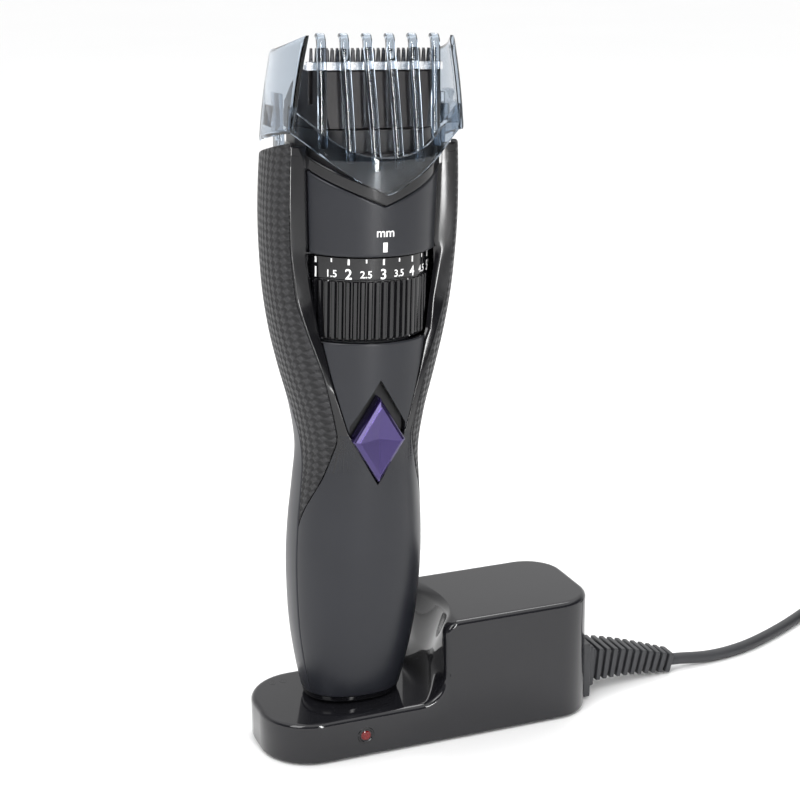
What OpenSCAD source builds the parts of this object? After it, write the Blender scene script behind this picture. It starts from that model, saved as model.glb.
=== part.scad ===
// Cordless beard trimmer standing in its charging stand.
// Frame: millimetres, +Z up, origin on the floor under the middle of the stand,
// +X along the stand towards its transformer block, -Y is the trimmer's front.

/* [Stand] */
// Length of the stand along X
stand_l = 93; // [90:1:100]
// Depth of the stand along Y
stand_d = 34; // [34:1:38]
// Height of the low dish that the trimmer stands on
dish_h = 12; // [11.5:0.5:13]
// Height of the transformer block
block_h = 34.5; // [33:0.5:38]
// X of the block's upright face
block_x = 1.4; // [0.5:0.1:3]
// Corner radius at the dish end, in plan
dish_r = 14; // [12:0.5:15]
// Corner radius at the block end, in plan
block_r = 10.5; // [9:0.5:12]
// Wall thickness of the stand
stand_wall = 2; // [1.6:0.1:2.4]
// Diameter of the charge light
led_d = 3.2; // [2.5:0.1:4]

/* [Trimmer] */
// X where the trimmer's axis meets its seat
seat_x = -19.9; // [-21:0.1:-19]
// Height of the trimmer's seat above the floor
seat_z = 12.8; // [12.7:0.1:13.2]
// Lean of the trimmer towards the block, in degrees
lean = 2; // [1:0.1:3]
// Wall thickness of the trimmer's shells
skin_t = 1.5; // [1.2:0.1:1.8]
// Radius of the length dial
dial_r = 17.8; // [17.6:0.1:17.9]
// Turn of the dial for one half-millimetre step, in degrees
dial_step = 14; // [12:1:14]
// Width of the power button
button_w = 14; // [13:0.5:15]
// Height of the power button
button_h = 22.5; // [21:0.5:23]

/* [Comb] */
// Distance from tooth to tooth of the comb
comb_pitch = 5.8; // [5.6:0.1:5.9]
// Thickness of one comb tooth
tine_t = 2.1; // [1.8:0.1:2.4]

/* [Cord] */
// Diameter of the mains cord
cord_d = 3.4; // [3.2:0.1:3.6]

/* [Hidden] */
$fn = 48;
eps = 0.01;

// ---- the trimmer's outer form, in its own frame: z up its axis from the seat ----
station = 10;
// half width, front depth and back depth at each station, seat to comb
half_w  = [13.0, 15.2, 16.8, 17.6, 17.9, 17.5, 16.6, 15.9, 17.3, 19.9, 22.3, 24.0, 24.9, 25.3, 25.1, 24.5,
    23.7];
front_d = [ 9.4, 11.9, 14.2, 15.8, 16.8, 17.4, 17.9, 18.2, 18.5, 18.7, 18.9, 19.2, 19.6, 19.8, 20.0, 20.2,
    20.2];
back_d  = [12.5, 13.3, 13.8, 13.9, 13.5, 12.7, 11.6, 11.2, 13.4, 17.2, 19.9, 20.3, 20.6, 20.7, 20.7, 20.3,
    19.5];
section_power = 2.2;
// edge angles, measured round the axis from the front, at heights up the trimmer
panel_edge = [[60, 0], [64, 0], [77, 24.5], [91, 38.5], [101, 47], [112, 53.5], [122, 57.5], [150, 59.5]];
grip_front = [[50, 73], [54.5, 67], [64, 47.5], [75, 33], [80, 35.5], [91, 42.5], [101, 52], [110, 59.8],
    [123, 62.5], [160, 64]];
grip_back  = [[0, 73], [65, 73], [75, 80], [85, 95], [95, 108], [105, 112], [160, 112]];
edge_gap = 0.25;
shell_z0 = 1.6;
split_z = 77;
grip_z0 = 51;
grip_top_back = 144.2;
grip_top_front = 149.2;
panel_tip_z = 134.5;
panel_side_z = 142.5;
panel_t = 1.3;
trim_t = 0.9;
trim_top = 148.4;

function smooth(v, z) =
    let (last = len(v) - 1, i = min(max(floor(z / station), 0), last - 1), t = z / station - i,
        b = v[i], c = v[i + 1],
        a = i > 0 ? v[i - 1] : 2 * b - c,
        d = i < last - 1 ? v[i + 2] : 2 * c - b)
    0.5 * (2 * b + (c - a) * t + (2 * a - 5 * b + 4 * c - d) * t * t + (3 * b - a - 3 * c + d) * t * t * t);
function oval_r(a, z) =
    pow(pow(abs(sin(a)) / smooth(half_w, z), section_power)
        + pow(abs(cos(a)) / smooth(cos(a) > 0 ? front_d : back_d, z), section_power), -1 / section_power);
function panel_r(a, z) = min(oval_r(a, z), smooth(front_d, z));
function skin_r(a, z) =
    let (q = abs(a), p = lookup(z, panel_edge), g = lookup(z, grip_front))
    q <= p ? panel_r(q, z)
    : (p > 0 && q < g) ? panel_r(p, z) + (oval_r(g, z) - panel_r(p, z)) * (q - p) / (g - p)
    : oval_r(q, z);
function around(r, a, z) = [r * sin(a), -r * cos(a), z];
function section(z, inset, n) = [for (i = [0:n - 1]) let (a = 360 * i / n,
    r = oval_r(a > 180 ? a - 360 : a, z) - inset)
    [r * sin(a), -r * cos(a)]];

// a closed panel of the skin: lo(z) and hi(z) are its edge angles, bottom(u) and top(u) its ends
module skin_panel(lo, hi, bottom, top, nu, nz, t = skin_t, proud = 0) {
    function pt(i, j, inner) =
        let (u = i / nu, z = bottom(u) + (top(u) - bottom(u)) * j / nz, a = lo(z) + (hi(z) - lo(z)) * u)
        around(skin_r(a, z) + proud - (inner ? t : 0), a, z);
    n = (nu + 1) * (nz + 1);
    function k(i, j, inner) = (inner ? n : 0) + j * (nu + 1) + i;
    points = [for (s = [false, true]) for (j = [0:nz]) for (i = [0:nu]) pt(i, j, s)];
    faces = concat(
        [for (j = [0:nz - 1]) for (i = [0:nu - 1]) for (h = [0, 1])
            h == 0 ? [k(i, j, false), k(i, j + 1, false), k(i + 1, j + 1, false)]
                : [k(i, j, false), k(i + 1, j + 1, false), k(i + 1, j, false)]],
        [for (j = [0:nz - 1]) for (i = [0:nu - 1]) for (h = [0, 1])
            h == 0 ? [k(i, j, true), k(i + 1, j + 1, true), k(i, j + 1, true)]
                : [k(i, j, true), k(i + 1, j, true), k(i + 1, j + 1, true)]],
        [for (j = [0:nz - 1]) for (h = [0, 1])
            h == 0 ? [k(0, j, false), k(0, j, true), k(0, j + 1, true)]
                : [k(0, j, false), k(0, j + 1, true), k(0, j + 1, false)]],
        [for (j = [0:nz - 1]) for (h = [0, 1])
            h == 0 ? [k(nu, j, false), k(nu, j + 1, true), k(nu, j, true)]
                : [k(nu, j, false), k(nu, j + 1, false), k(nu, j + 1, true)]],
        [for (i = [0:nu - 1]) for (h = [0, 1])
            h == 0 ? [k(i, 0, false), k(i + 1, 0, true), k(i, 0, true)]
                : [k(i, 0, false), k(i + 1, 0, false), k(i + 1, 0, true)]],
        [for (i = [0:nu - 1]) for (h = [0, 1])
            h == 0 ? [k(i, nz, false), k(i, nz, true), k(i + 1, nz, true)]
                : [k(i, nz, false), k(i + 1, nz, true), k(i + 1, nz, false)]]);
    polyhedron(points = points, faces = faces);
}

// ---- shared places, in the trimmer's frame ----
dial_z0 = 100.9;
dial_z1 = 121.9;
dial_band = 6;
dial_in = 15.9;
pivot_z = 128;
fork_z = 104;
lever_amp = 2;
pin_mid_z = 157;
ecc_off = 0.85;
hinge_y = 6.5;
hinge_z = 154.2;
hinge_r = 1.7;
head_r = 18.2;
head_step_z = 147;
chassis_top = 141;
head_cut = 17.9;
head_z0 = 123.4;
head_z1 = 152.4;
button_z = 75.4;
button_y = -18.9;
seal_y = -14.6;
board_y = -10.4;
boss_r = 6.5;
boss_top = 2.4;
terminal_z = 3.4;
contact_x = 3.6;
motor_y = 0.8;

module on_seat() { translate([seat_x, 0, seat_z]) rotate([0, lean, 0]) children(); }
module tube(r1, r2, h) { difference() { cylinder(r = r1, h = h); translate([0, 0, -1])
    cylinder(r = r2, h = h + 2); } }
module block(lo, hi) { translate(lo) cube(hi - lo); }
module screw(head_r, head_h, shaft_r, shaft_h) {
    difference() {
        union() { cylinder(r = head_r, h = head_h); translate([0, 0, -shaft_h])
            cylinder(r = shaft_r, h = shaft_h + eps); }
        block([-head_r * 0.7, -0.25, head_h * 0.45], [head_r * 0.7, 0.25, head_h + 1]);
        block([-0.25, -head_r * 0.7, head_h * 0.45], [0.25, head_r * 0.7, head_h + 1]);
    }
}

// ================= stand =================
fillet_in = 7.5;
fillet_out = 4;
foot_h = 0.6;
scoop_r = 21.8;
scoop_flare = 3.8;
core_x = 25;
core_l = 27;
core_w = 20;
core_h = 23;
core_z = 4.4;
core_leg = 8;
plate_t = 1.8;

module plan(o) {
    for (s = [-1, 1]) {
        translate([-stand_l / 2 + dish_r, s * (stand_d / 2 - dish_r)]) circle(r = dish_r - o);
        translate([stand_l / 2 - block_r, s * (stand_d / 2 - block_r)]) circle(r = block_r - o);
    }
    translate([-stand_l / 2 + dish_r, -stand_d / 2 + o]) square([stand_l - dish_r - block_r,
        stand_d - 2 * o]);
    translate([-stand_l / 2 + o, -stand_d / 2 + dish_r]) square([dish_r, stand_d - 2 * dish_r]);
    translate([stand_l / 2 - block_r, -stand_d / 2 + block_r]) square([block_r - o, stand_d - 2 * block_r]);
}
function arc(cx, cy, r, a0, a1, n) = [for (i = [0:n]) let (a = a0 + (a1 - a0) * i / n)
    [cx + r * cos(a), cy + r * sin(a)]];
// the stand's side outline, shrunk by o on its upper edges
module side_outline(o) {
    ri = fillet_in + o;
    ro = fillet_out - o;
    polygon(concat(
        [[-stand_l, foot_h - 1], [-stand_l, dish_h - o]],
        arc(block_x + o - ri, dish_h - o + ri, ri, -90, 0, 8),
        arc(block_x + o + ro, block_h - o - ro, ro, 180, 90, 8),
        [[stand_l, block_h - o], [stand_l, foot_h - 1]]));
}
module stand_form(o) {
    intersection() {
        linear_extrude(block_h + 1) plan(o);
        translate([0, stand_d, 0]) rotate([90, 0, 0]) linear_extrude(2 * stand_d) side_outline(o);
    }
}
// the rounded hollow behind the trimmer, flared towards the block's top
module scoop(o) {
    translate([0, 0, seat_z - 0.8 - o * 0.02]) on_axis() rotate_extrude($fn = 96)
        polygon(concat([[0, 0], [scoop_r + o, 0], [scoop_r + o, 8]],
            [for (i = [1:6]) [scoop_r + o + scoop_flare * (1 - cos(90 * i / 6)), 8 + 15 * sin(90 * i / 6)]],
            [[scoop_r + o + scoop_flare, 40], [0, 40]]));
}
module on_axis() { translate([seat_x, 0, 0]) rotate([0, lean, 0]) children(); }
module pin_bores(r, z0, z1) {
    for (s = [-1, 1]) on_seat() translate([s * contact_x, 0, z0]) cylinder(r = r, h = z1 - z0);
}
screw_dish = [-30, 10.5];
screw_block = [41, 8.6];
module at_screws() {
    for (p = [screw_dish, screw_block]) for (s = [-1, 1]) translate([p[0], s * p[1], 0]) children();
}
module screw_posts() {
    for (s = [-1, 1]) {
        translate([screw_dish[0], s * screw_dish[1], foot_h + plate_t + 0.1]) cylinder(r = 2.6, h = 8);
        translate([screw_block[0], s * screw_block[1], foot_h + plate_t + 0.1]) cylinder(r = 2.2, h = 30.5);
    }
}
module stand_shell() color([0.13, 0.13, 0.14]) {
    difference() {
        union() {
            difference() {
                intersection() {
                    stand_form(0);
                    translate([-stand_l, -stand_d, foot_h]) cube([2 * stand_l, 2 * stand_d, 60]);
                }
                difference() {
                    stand_form(stand_wall);
                    intersection() {
                        scoop(stand_wall);
                        translate([block_x - 4, -stand_d, dish_h - stand_wall]) cube([40, 2 * stand_d, 40]);
                    }
                }
                translate([0, 0, -1]) linear_extrude(foot_h + plate_t + 1) plan(1.1);
            }
            on_seat() translate([0, 0, -3.2]) cylinder(r = boss_r, h = boss_top + 3.2);
            screw_posts();
        }
        intersection() {
            scoop(0);
            translate([block_x - 4, -stand_d, dish_h]) cube([40, 2 * stand_d, 40]);
        }
        pin_bores(1.15, -8, 10);
        at_screws() translate([0, 0, 1]) cylinder(r = 1.05, h = 7.5);
        translate([-21.6, 0, 6.5]) rotate([90, 0, 0]) cylinder(r = led_d / 2 + 0.05, h = stand_d);
        for (s = [-1, 1]) translate([-37 + s * 1.3, 11.6, 4]) cylinder(r = 0.7, h = 10);
        translate([stand_l / 2 - 5, 0, 8.7]) rotate([0, 90, 0]) cylinder(r = 2.6, h = 8);
    }
}
module base_plate() color([0.10, 0.10, 0.11]) difference() {
    translate([0, 0, foot_h]) linear_extrude(plate_t) plan(1.3);
    at_screws() translate([0, 0, -1]) cylinder(r = 1.2, h = 6);
    at_screws() translate([0, 0, -1]) cylinder(r = 2.3, h = 2.3);
    for (x = [8:4:40]) block([x, -7, -1], [x + 1.4, 7, 5]);
}
module stand_feet() color([0.05, 0.05, 0.05]) {
    for (x = [-36, 33]) for (s = [-1, 1]) translate([x, s * 9, 0]) cylinder(r = 3, h = foot_h);
    cylinder(r = 3, h = foot_h);
}
module base_screws() color([0.7, 0.7, 0.72])
    at_screws() translate([0, 0, 1.25]) rotate([180, 0, 0]) screw(2, 0.6, 1, 6.5);
module transformer_core() color([0.42, 0.42, 0.45]) difference() {
    block([core_x - core_l / 2, -core_w / 2, core_z], [core_x + core_l / 2, core_w / 2, core_z + core_h]);
    for (s = [-1, 1]) translate([core_x + s * (core_leg / 2 + 3.2), 0, core_z + core_h / 2])
        cube([6.4, core_w + 2, core_h - 8], center = true);
}
module transformer_bobbin() color([0.85, 0.83, 0.78]) translate([core_x, 0, core_z + core_h / 2])
    difference() {
    for (s = [-1, 0, 1]) translate([0, 0, s * 6.9])
        cube(s == 0 ? [10, core_w + 2.4, 14] : [20, core_w + 8, 0.9], center = true);
    cube([core_leg + 0.1, core_w + 0.1, 20], center = true);
}
module transformer_winding() color([0.72, 0.36, 0.16]) translate([core_x, 0, core_z + core_h / 2])
    difference() {
    cube([19.4, core_w + 7, 12.7], center = true);
    cube([10.1, core_w + 2.5, 20], center = true);
}
module charge_board() color([0.10, 0.32, 0.16]) difference() {
    block([-38, -10, 3.4], [6, 10, 5]);
    at_screws() cylinder(r = 3, h = 10);
}
module board_parts() color([0.12, 0.12, 0.14]) {
    translate([-34, 5, 5.01]) cylinder(r = 2, h = 3.2);
    translate([-34, -4, 5.01]) cylinder(r = 1.6, h = 2.6);
    for (y = [-4, 0, 4]) block([-8, y - 0.9, 5.01], [-4, y + 0.9, 7]);
}
module charge_led() color([0.55, 0.04, 0.04]) translate([-21.6, 0, 6.5]) rotate([90, 0, 0]) {
    translate([0, 0, stand_d / 2 - 3.4]) cylinder(r = led_d / 2, h = 3.2);
    translate([0, 0, stand_d / 2 - 3.9]) cylinder(r = led_d / 2 + 0.5, h = 0.9);
}
pin_r = 1.05;
pin_z0 = -6.4;
module contact_pin(s) color([0.86, 0.72, 0.42]) on_seat() translate([s * contact_x, 0, 0]) {
    translate([0, 0, pin_z0 + 1.2]) cylinder(r = pin_r, h = terminal_z - 0.05 - pin_z0 - 1.2);
    translate([0, 0, pin_z0]) cylinder(r = 1.6, h = 1.25);
}
module contact_pin_left() contact_pin(-1);
module contact_pin_right() contact_pin(1);
module contact_spring(s) color([0.75, 0.75, 0.78]) on_seat() translate([s * contact_x, 0, -7.55])
    tube(1.5, 1.1, 1.1);
module contact_spring_left() contact_spring(-1);
module contact_spring_right() contact_spring(1);
relief_x0 = stand_l / 2;
relief_l = 32.5;
relief_z0 = 8.7;
relief_z1 = 3.1;
relief_ribs = 11;
relief_pitch = 0.074;
function relief_z(t) = relief_z0 + (relief_z1 - relief_z0) * t * t * (1.5 - 0.5 * t);
module relief_bar(t0, t1, grow) {
    m = (t0 + t1) / 2;
    hw = 6 - 3.1 * m + grow;
    hh = 5.4 - 2.6 * m + grow;
    block([relief_x0 + relief_l * t0, -hw, max(relief_z(m) - hh, 0.05)],
        [relief_x0 + relief_l * t1, hw, relief_z(m) + hh]);
}
module strain_relief() color([0.12, 0.12, 0.13]) {
    block([relief_x0, -8.6, foot_h + 0.1], [relief_x0 + 2.4, 8.6, 17]);
    block([relief_x0 + 2, -6.9, 3], [relief_x0 + 4.3, 6.9, 15.2]);
    for (i = [0:relief_ribs - 1]) {
        t = 0.12 + relief_pitch * i;
        relief_bar(t, t + 0.042, 0);
        relief_bar(t + 0.04, t + relief_pitch + 0.002, -1.1);
    }
    relief_bar(0.12 + relief_pitch * relief_ribs, 1, 0);
    translate([relief_x0 - 2.2, 0, relief_z0]) rotate([0, 90, 0]) cylinder(r = 2.5, h = 3);
    translate([relief_x0 - 4.2, 0, relief_z0]) rotate([0, 90, 0]) cylinder(r = 3.6, h = 2.1);
}

// ---- mains cord ----
// hand-laid route of the loose stretch: out of the strain relief, down, and along the floor
cord_route = [[79, 0, 3.1], [82, 0, 2.9], [86, -0.2, 2.4], [90, -0.3, 2], [95, 0, 1.8], [101, 0.8, 1.7],
    [107, 2.3, 1.7], [113, 4.5, 1.7], [119, 7.2, 1.7], [126, 10.6, 1.7], [133, 14.4, 1.7], [140, 18.4, 1.7],
    [147, 22.2, 1.7], [154, 25.3, 1.9], [161, 27.2, 2.2], [168, 27.8, 2.5]];
// from the coil's last turn up onto the coil and into the plug that lies on it
cord_tail_route = [[144.8, -0.6, 12.8], [144.3, 4, 13.6], [144.8, 8.2, 14.7], [146.4, 12, 16],
    [148.9, 15.3, 17.4],
    [152.2, 17.9, 18.8], [156.1, 19.5, 20], [160.2, 20, 20.9], [164, 20, 21.3], [167.5, 20, 21.3]];
coil_x = 168;
coil_y = 4;
coil_mid_r = 20.4;
coil_base = 0.7;
coil_turns_across = 3;
coil_layers = 4;
coil_h = coil_layers * cord_d + 0.2;
coil_w = coil_turns_across * cord_d + 0.2;
plug_x = 166;
plug_y = 20;
plug_z = 21.3;

function unit(v) = v / norm(v);
function side_of(d) = unit(cross([0, 0, 1], d));
function ring(p, d, r, n) = let (s = side_of(d), u = cross(d, s))
    [for (i = [0:n - 1]) p + r * (cos(360 * (i + 0.5) / n) * s + sin(360 * (i + 0.5) / n) * u)];
module swept(route, r, n) {
    last = len(route) - 1;
    points = [for (k = [0:last]) each ring(route[k],
        unit(route[min(k + 1, last)] - route[max(k - 1, 0)]), r, n)];
    polyhedron(points = points, faces = concat(
        [[for (i = [0:n - 1]) i]],
        [for (k = [0:last - 1]) for (i = [0:n - 1]) for (h = [0, 1])
            h == 0 ? [k * n + i, (k + 1) * n + i, (k + 1) * n + (i + 1) % n]
                : [k * n + i, (k + 1) * n + (i + 1) % n, k * n + (i + 1) % n]],
        [[for (i = [n - 1:-1:0]) last * n + i]]));
}
module cord_lead() color([0.12, 0.12, 0.13]) {
    swept(cord_route, cord_d / 2 - 0.02, 8);
}
module cord_tail() color([0.12, 0.12, 0.13]) {
    swept(cord_tail_route, cord_d / 2 - 0.02, 8);
}
module cord_coil() color([0.12, 0.12, 0.13]) translate([coil_x, coil_y, coil_base]) rotate_extrude()
    translate([coil_mid_r - coil_w / 2, 0]) square([coil_w, coil_h]);
module cord_tie() color([0.2, 0.2, 0.2]) translate([coil_x, coil_y, coil_base + coil_h / 2])
    rotate([0, 0, -60]) translate([coil_mid_r, 0, 0]) rotate([90, 0, 0]) translate([0, 0, -2])
        linear_extrude(4) difference() {
        square([coil_w + 1.3, coil_h + 1.3], center = true);
        square([coil_w + 0.05, coil_h + 0.05], center = true);
    }
pin_gap = 18.6;
module plug_body() color([0.12, 0.12, 0.13]) translate([plug_x, plug_y, plug_z]) {
    difference() {
        translate([0, 0, -6.7]) linear_extrude(13.4)
            polygon([[8, -5.5], [14, -9], [30, -15.5], [36, -15.5], [36, 15.5], [30, 15.5], [14, 9],
                [8, 5.5]]);
        for (s = [-1, 1]) translate([30, s * pin_gap / 2, 0]) rotate([0, 90, 0]) cylinder(r = 1.6, h = 10);
    }
    rotate([0, 90, 0]) for (i = [0:3]) translate([0, 0, -2 + i * 2.6]) cylinder(r = 3 + i * 0.35, h = 1.5);
    translate([-2, 0, 0]) rotate([0, 90, 0]) cylinder(r = 2.5, h = 10.5);
}
module plug_pins() color([0.8, 0.8, 0.82]) translate([plug_x, plug_y, plug_z])
    for (s = [-1, 1]) translate([30, s * pin_gap / 2, 0]) rotate([0, 90, 0]) {
        cylinder(r = 1.6, h = 7);
        translate([0, 0, 6]) cylinder(r = 2, h = 19);
    }

// ================= trimmer shells =================
module button_prism(grow, up, y0, y1) {
    w = button_w / 2 + grow;
    h = button_h / 2 + grow * 1.6;
    translate([0, y1, button_z]) rotate([90, 0, 0]) linear_extrude(y1 - y0)
        polygon([[0, -h], [w, 0], [w, up], [0, h + up], [-w, up], [-w, 0]]);
}
switch_travel = 3;
function grip_f(z) = lookup(z, grip_front);
function grip_b(z) = lookup(z, grip_back);
function shell_edge(z) = z < 50 ? grip_b(z) : min(grip_f(z), grip_b(z));
module front_shell() color([0.19, 0.19, 0.21]) on_seat() difference() {
    skin_panel(function(z) -shell_edge(z) + edge_gap, function(z) shell_edge(z) - edge_gap,
        function(u) shell_z0, function(u) split_z - 0.1, 16, 22);
    button_prism(0.45, switch_travel + 0.8, -30, -5);
}
module rear_shell() color([0.30, 0.30, 0.32]) on_seat()
    skin_panel(function(z) grip_b(z) + edge_gap, function(z) 360 - grip_b(z) - edge_gap,
        function(u) shell_z0, function(u) grip_top_back - 0.4, 20, 30);
module grip(side) color([0.09, 0.09, 0.10]) on_seat() mirror([side < 0 ? 1 : 0, 0, 0])
    skin_panel(function(z) grip_f(z) + edge_gap, function(z) grip_b(z) - edge_gap,
        function(u) grip_z0, function(u) grip_top_front + (grip_top_back - grip_top_front) * u, 8, 26,
            skin_t);
module grip_left() grip(-1);
module grip_right() grip(1);
function panel_top(u) = panel_tip_z + (panel_side_z - panel_tip_z) * abs(2 * u - 1);
function band_low(u) = panel_tip_z + 0.25 + (panel_side_z - panel_tip_z) * 1.09 * abs(2 * u - 1);
module panel(bottom, top, nz) {
    skin_panel(function(z) -lookup(z, panel_edge) + edge_gap, function(z) lookup(z, panel_edge) - edge_gap,
        bottom, top, 14, nz, panel_t);
}
module upper_panel() color([0.17, 0.17, 0.18]) on_seat()
    panel(function(u) dial_z1 + 0.4, function(u) panel_top(u), 8);
module lower_panel() color([0.17, 0.17, 0.18]) on_seat() difference() {
    panel(function(u) split_z, function(u) dial_z0 - 0.4, 10);
    button_prism(0.45, switch_travel + 0.8, -30, -5);
}
module trim_frame() color([0.03, 0.03, 0.035]) on_seat() {
    for (m = [0, 1]) mirror([m, 0, 0])
        skin_panel(function(z) lookup(z, panel_edge), function(z) grip_f(z),
            function(u) split_z, function(u) trim_top, 3, 20, trim_t);
    skin_panel(function(z) -grip_f(z), function(z) grip_f(z),
        function(u) band_low(u), function(u) band_low(u) + 3.2, 14, 3, trim_t);
}
module bottom_cap() color([0.08, 0.08, 0.09]) on_seat() difference() {
    union() {
        linear_extrude(shell_z0 - 0.1) polygon(section(0, 0, 48));
        translate([0, 0, 1]) linear_extrude(3) polygon(section(1.4, skin_t + 0.25, 48));
        cylinder(r = 7.8, h = 5.4);
    }
    translate([0, 0, -1]) cylinder(r = boss_r + 0.5, h = terminal_z + 1);
    for (s = [-1, 1]) translate([s * contact_x, 0, 0]) cylinder(r = 1.7, h = 8);
}
module charge_terminals() color([0.8, 0.8, 0.8]) on_seat()
    for (s = [-1, 1]) translate([s * contact_x, 0, terminal_z]) cylinder(r = 1.65, h = 2.6);

// ================= trimmer insides =================
battery_r = 7.1;
battery_z = [11, 60.4];
battery_y = 2;
module battery_cell() color([0.25, 0.45, 0.28]) on_seat() translate([0, battery_y, 0]) {
    translate([0, 0, battery_z[0]]) cylinder(r = battery_r, h = battery_z[1] - battery_z[0] - 1);
    translate([0, 0, battery_z[1] - 1.1]) cylinder(r = 2.6, h = 1.1);
}
module battery_tabs() color([0.75, 0.72, 0.62]) on_seat() {
    block([-3, battery_y - 3, battery_z[1] + 0.02], [3, battery_y + 3, battery_z[1] + 0.4]);
    block([-3, battery_y - 3, battery_z[0] - 0.4], [3, battery_y + 3, battery_z[0] - 0.02]);
}
module main_board() color([0.10, 0.32, 0.16]) on_seat() difference() {
    block([-8, board_y, 20], [8, board_y + 1.4, 90]);
    for (z = [24, 60]) translate([0, board_y - 2, z]) rotate([-90, 0, 0]) cylinder(r = 1.1, h = 6);
}
module slide_switch() color([0.7, 0.7, 0.72]) on_seat() difference() {
    block([-4, -13.6, 68], [4, board_y - 0.02, 84]);
    block([-1.5, -14, 69.5], [1.5, -12, 82.5]);
}
module button_seal() color([0.05, 0.05, 0.05]) on_seat() difference() {
    intersection() {
        button_prism(1.6, switch_travel + 0.8, seal_y, seal_y + 1);
        block([-7.3, -20, 50], [7.3, 0, 100]);
    }
    block([-1.5, -20, 70.2], [1.5, 0, 81.8]);
}
// a slide switch knob: faceted diamond with a peg behind it
module power_button() color([0.29, 0.18, 0.55]) on_seat() {
    w = button_w / 2;
    h = button_h / 2;
    k = 0.74;
    rim = button_y - 0.3;
    face = button_y + 0.1;
    peak = button_y - 0.7;
    outline = [[0, -h], [w, 0], [0, h], [-w, 0]];
    back = [for (p = outline) [p[0], seal_y - 0.3, button_z + p[1]]];
    edge = [for (p = outline) [p[0], button_y + 0.5, button_z + p[1]]];
    crest = [for (p = outline) [p[0] * 0.9, rim, button_z + p[1] * 0.9]];
    inner = [for (p = outline) [p[0] * k, face, button_z + p[1] * k]];
    polyhedron(points = concat(back, edge, crest, inner, [[0, peak, button_z]]), faces = concat(
        [[0, 1, 2, 3]],
        [for (r = [0:2]) for (i = [0:3]) for (s = [0, 1]) let (j = (i + 1) % 4, a = 4 * r, b = 4 * r + 4)
            s == 0 ? [b + j, a + j, a + i] : [b + i, b + j, a + i]],
        [for (i = [0:3]) [16, 12 + (i + 1) % 4, 12 + i]]));
    translate([0, seal_y + 2.5, button_z - 1.5]) rotate([90, 0, 0]) cylinder(r = 1.2, h = 3.2);
}
chassis_r = 13.4;
head_screw_xy = 8.1;
module at_head_screws() { for (x = [-1, 1]) for (y = [-1, 1]) translate([x * head_screw_xy,
    y * head_screw_xy, 0]) children(); }
module chassis() color([0.55, 0.56, 0.58]) on_seat() {
    difference() {
        union() {
            translate([0, 0, 93]) tube(chassis_r, chassis_r - 1.4, chassis_top - 93);
            translate([0, 0, 92.2]) cylinder(r = chassis_r, h = 1.6);
            intersection() {
                block([-11.6, -8.8, 63], [11.6, 8.5, 92.4]);
                translate([0, 0, 60]) cylinder(r = 11.2, h = 40);
            }
            for (s = [-1, 1]) block([-3, s * 5.2 - 1.2, 117], [3, s * 5.2 + 1.2, 131]);
            for (s = [-1, 1]) block([s * 7.5 - 5, -6.4, 117], [s * 7.5 + 5, 6.4, 119.8]);
            for (x = [-1, 1]) for (y = [-1, 1]) translate([x * head_screw_xy, y * head_screw_xy, 133])
                cylinder(r = 1.9, h = chassis_top - 133);
        }
        translate([0, motor_y, 62]) intersection() {
            cylinder(r = 10.1, h = 30.2);
            block([-20, -7.8, 0], [20, 7.8, 30.2]);
        }
        translate([0, motor_y, 80]) cylinder(r = 4.1, h = 20);
        block([-6.4, -4, 115], [6.4, 4, 133]);
        translate([0, 20, pivot_z]) rotate([90, 0, 0]) cylinder(r = 1, h = 40);
        for (s = [-1, 1]) translate([s * 6.6, motor_y, 90]) cylinder(r = 0.85, h = 10);
        at_head_screws() cylinder(r = 0.8, h = 200);
    }
}
module motor_can() color([0.75, 0.76, 0.78]) on_seat() translate([0, motor_y, 0]) difference() {
    union() {
        translate([0, 0, 63.5]) intersection() {
            cylinder(r = 10, h = 28.6);
            block([-20, -7.7, 0], [20, 7.7, 28.6]);
        }
        translate([0, 0, 91]) cylinder(r = 4, h = 3.4);
    }
    translate([0, 0, 60]) cylinder(r = 1.05, h = 40);
    translate([0, 0, 66]) cylinder(r = 7.2, h = 22);
    for (s = [-1, 1]) translate([s * 6.6, 0, 86]) cylinder(r = 0.8, h = 20);
}
module motor_screws() color([0.7, 0.7, 0.72]) on_seat() for (s = [-1, 1])
    translate([s * 6.6, motor_y, 93.82]) screw(1.5, 1, 0.75, 5.5);
module motor_rotor() color([0.6, 0.58, 0.55]) on_seat() translate([0, motor_y, 0]) {
    translate([0, 0, 67]) cylinder(r = 6.8, h = 20);
    translate([0, 0, 63.8]) cylinder(r = 1, h = 36);
}
module eccentric() color([0.85, 0.85, 0.82]) on_seat() translate([0, motor_y, 0]) {
    difference() {
        translate([0, 0, 96.5]) cylinder(r = 3.4, h = 4.6);
        translate([0, 0, 90]) cylinder(r = 1.0, h = 9.8);
    }
    translate([0, ecc_off, 101]) cylinder(r = 1, h = 6);
}
module drive_lever() color([0.88, 0.88, 0.85]) on_seat() difference() {
    union() {
        for (s = [-1, 1]) block([s * 3.6 - 0.8, -2.6, 102], [s * 3.6 + 0.8, 4.4, 111]);
        block([-4.4, -2.6, 109], [4.4, 2.6, 112]);
        block([-1.9, -2.6, 111], [1.9, 2.6, 130]);
        translate([0, 2.6, pivot_z]) rotate([90, 0, 0]) cylinder(r = 3.2, h = 5.2);
        translate([0, 0, 129]) cylinder(r = 1.5, h = 24);
        translate([0, 0, 150]) cylinder(r = 1.2, h = 9);
    }
    translate([0, 10, pivot_z]) rotate([90, 0, 0]) cylinder(r = 1.05, h = 20);
}
module lever_pin() color([0.8, 0.8, 0.82]) on_seat() translate([0, 6.4, pivot_z]) rotate([90, 0, 0])
    cylinder(r = 1, h = 12.8);
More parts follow.
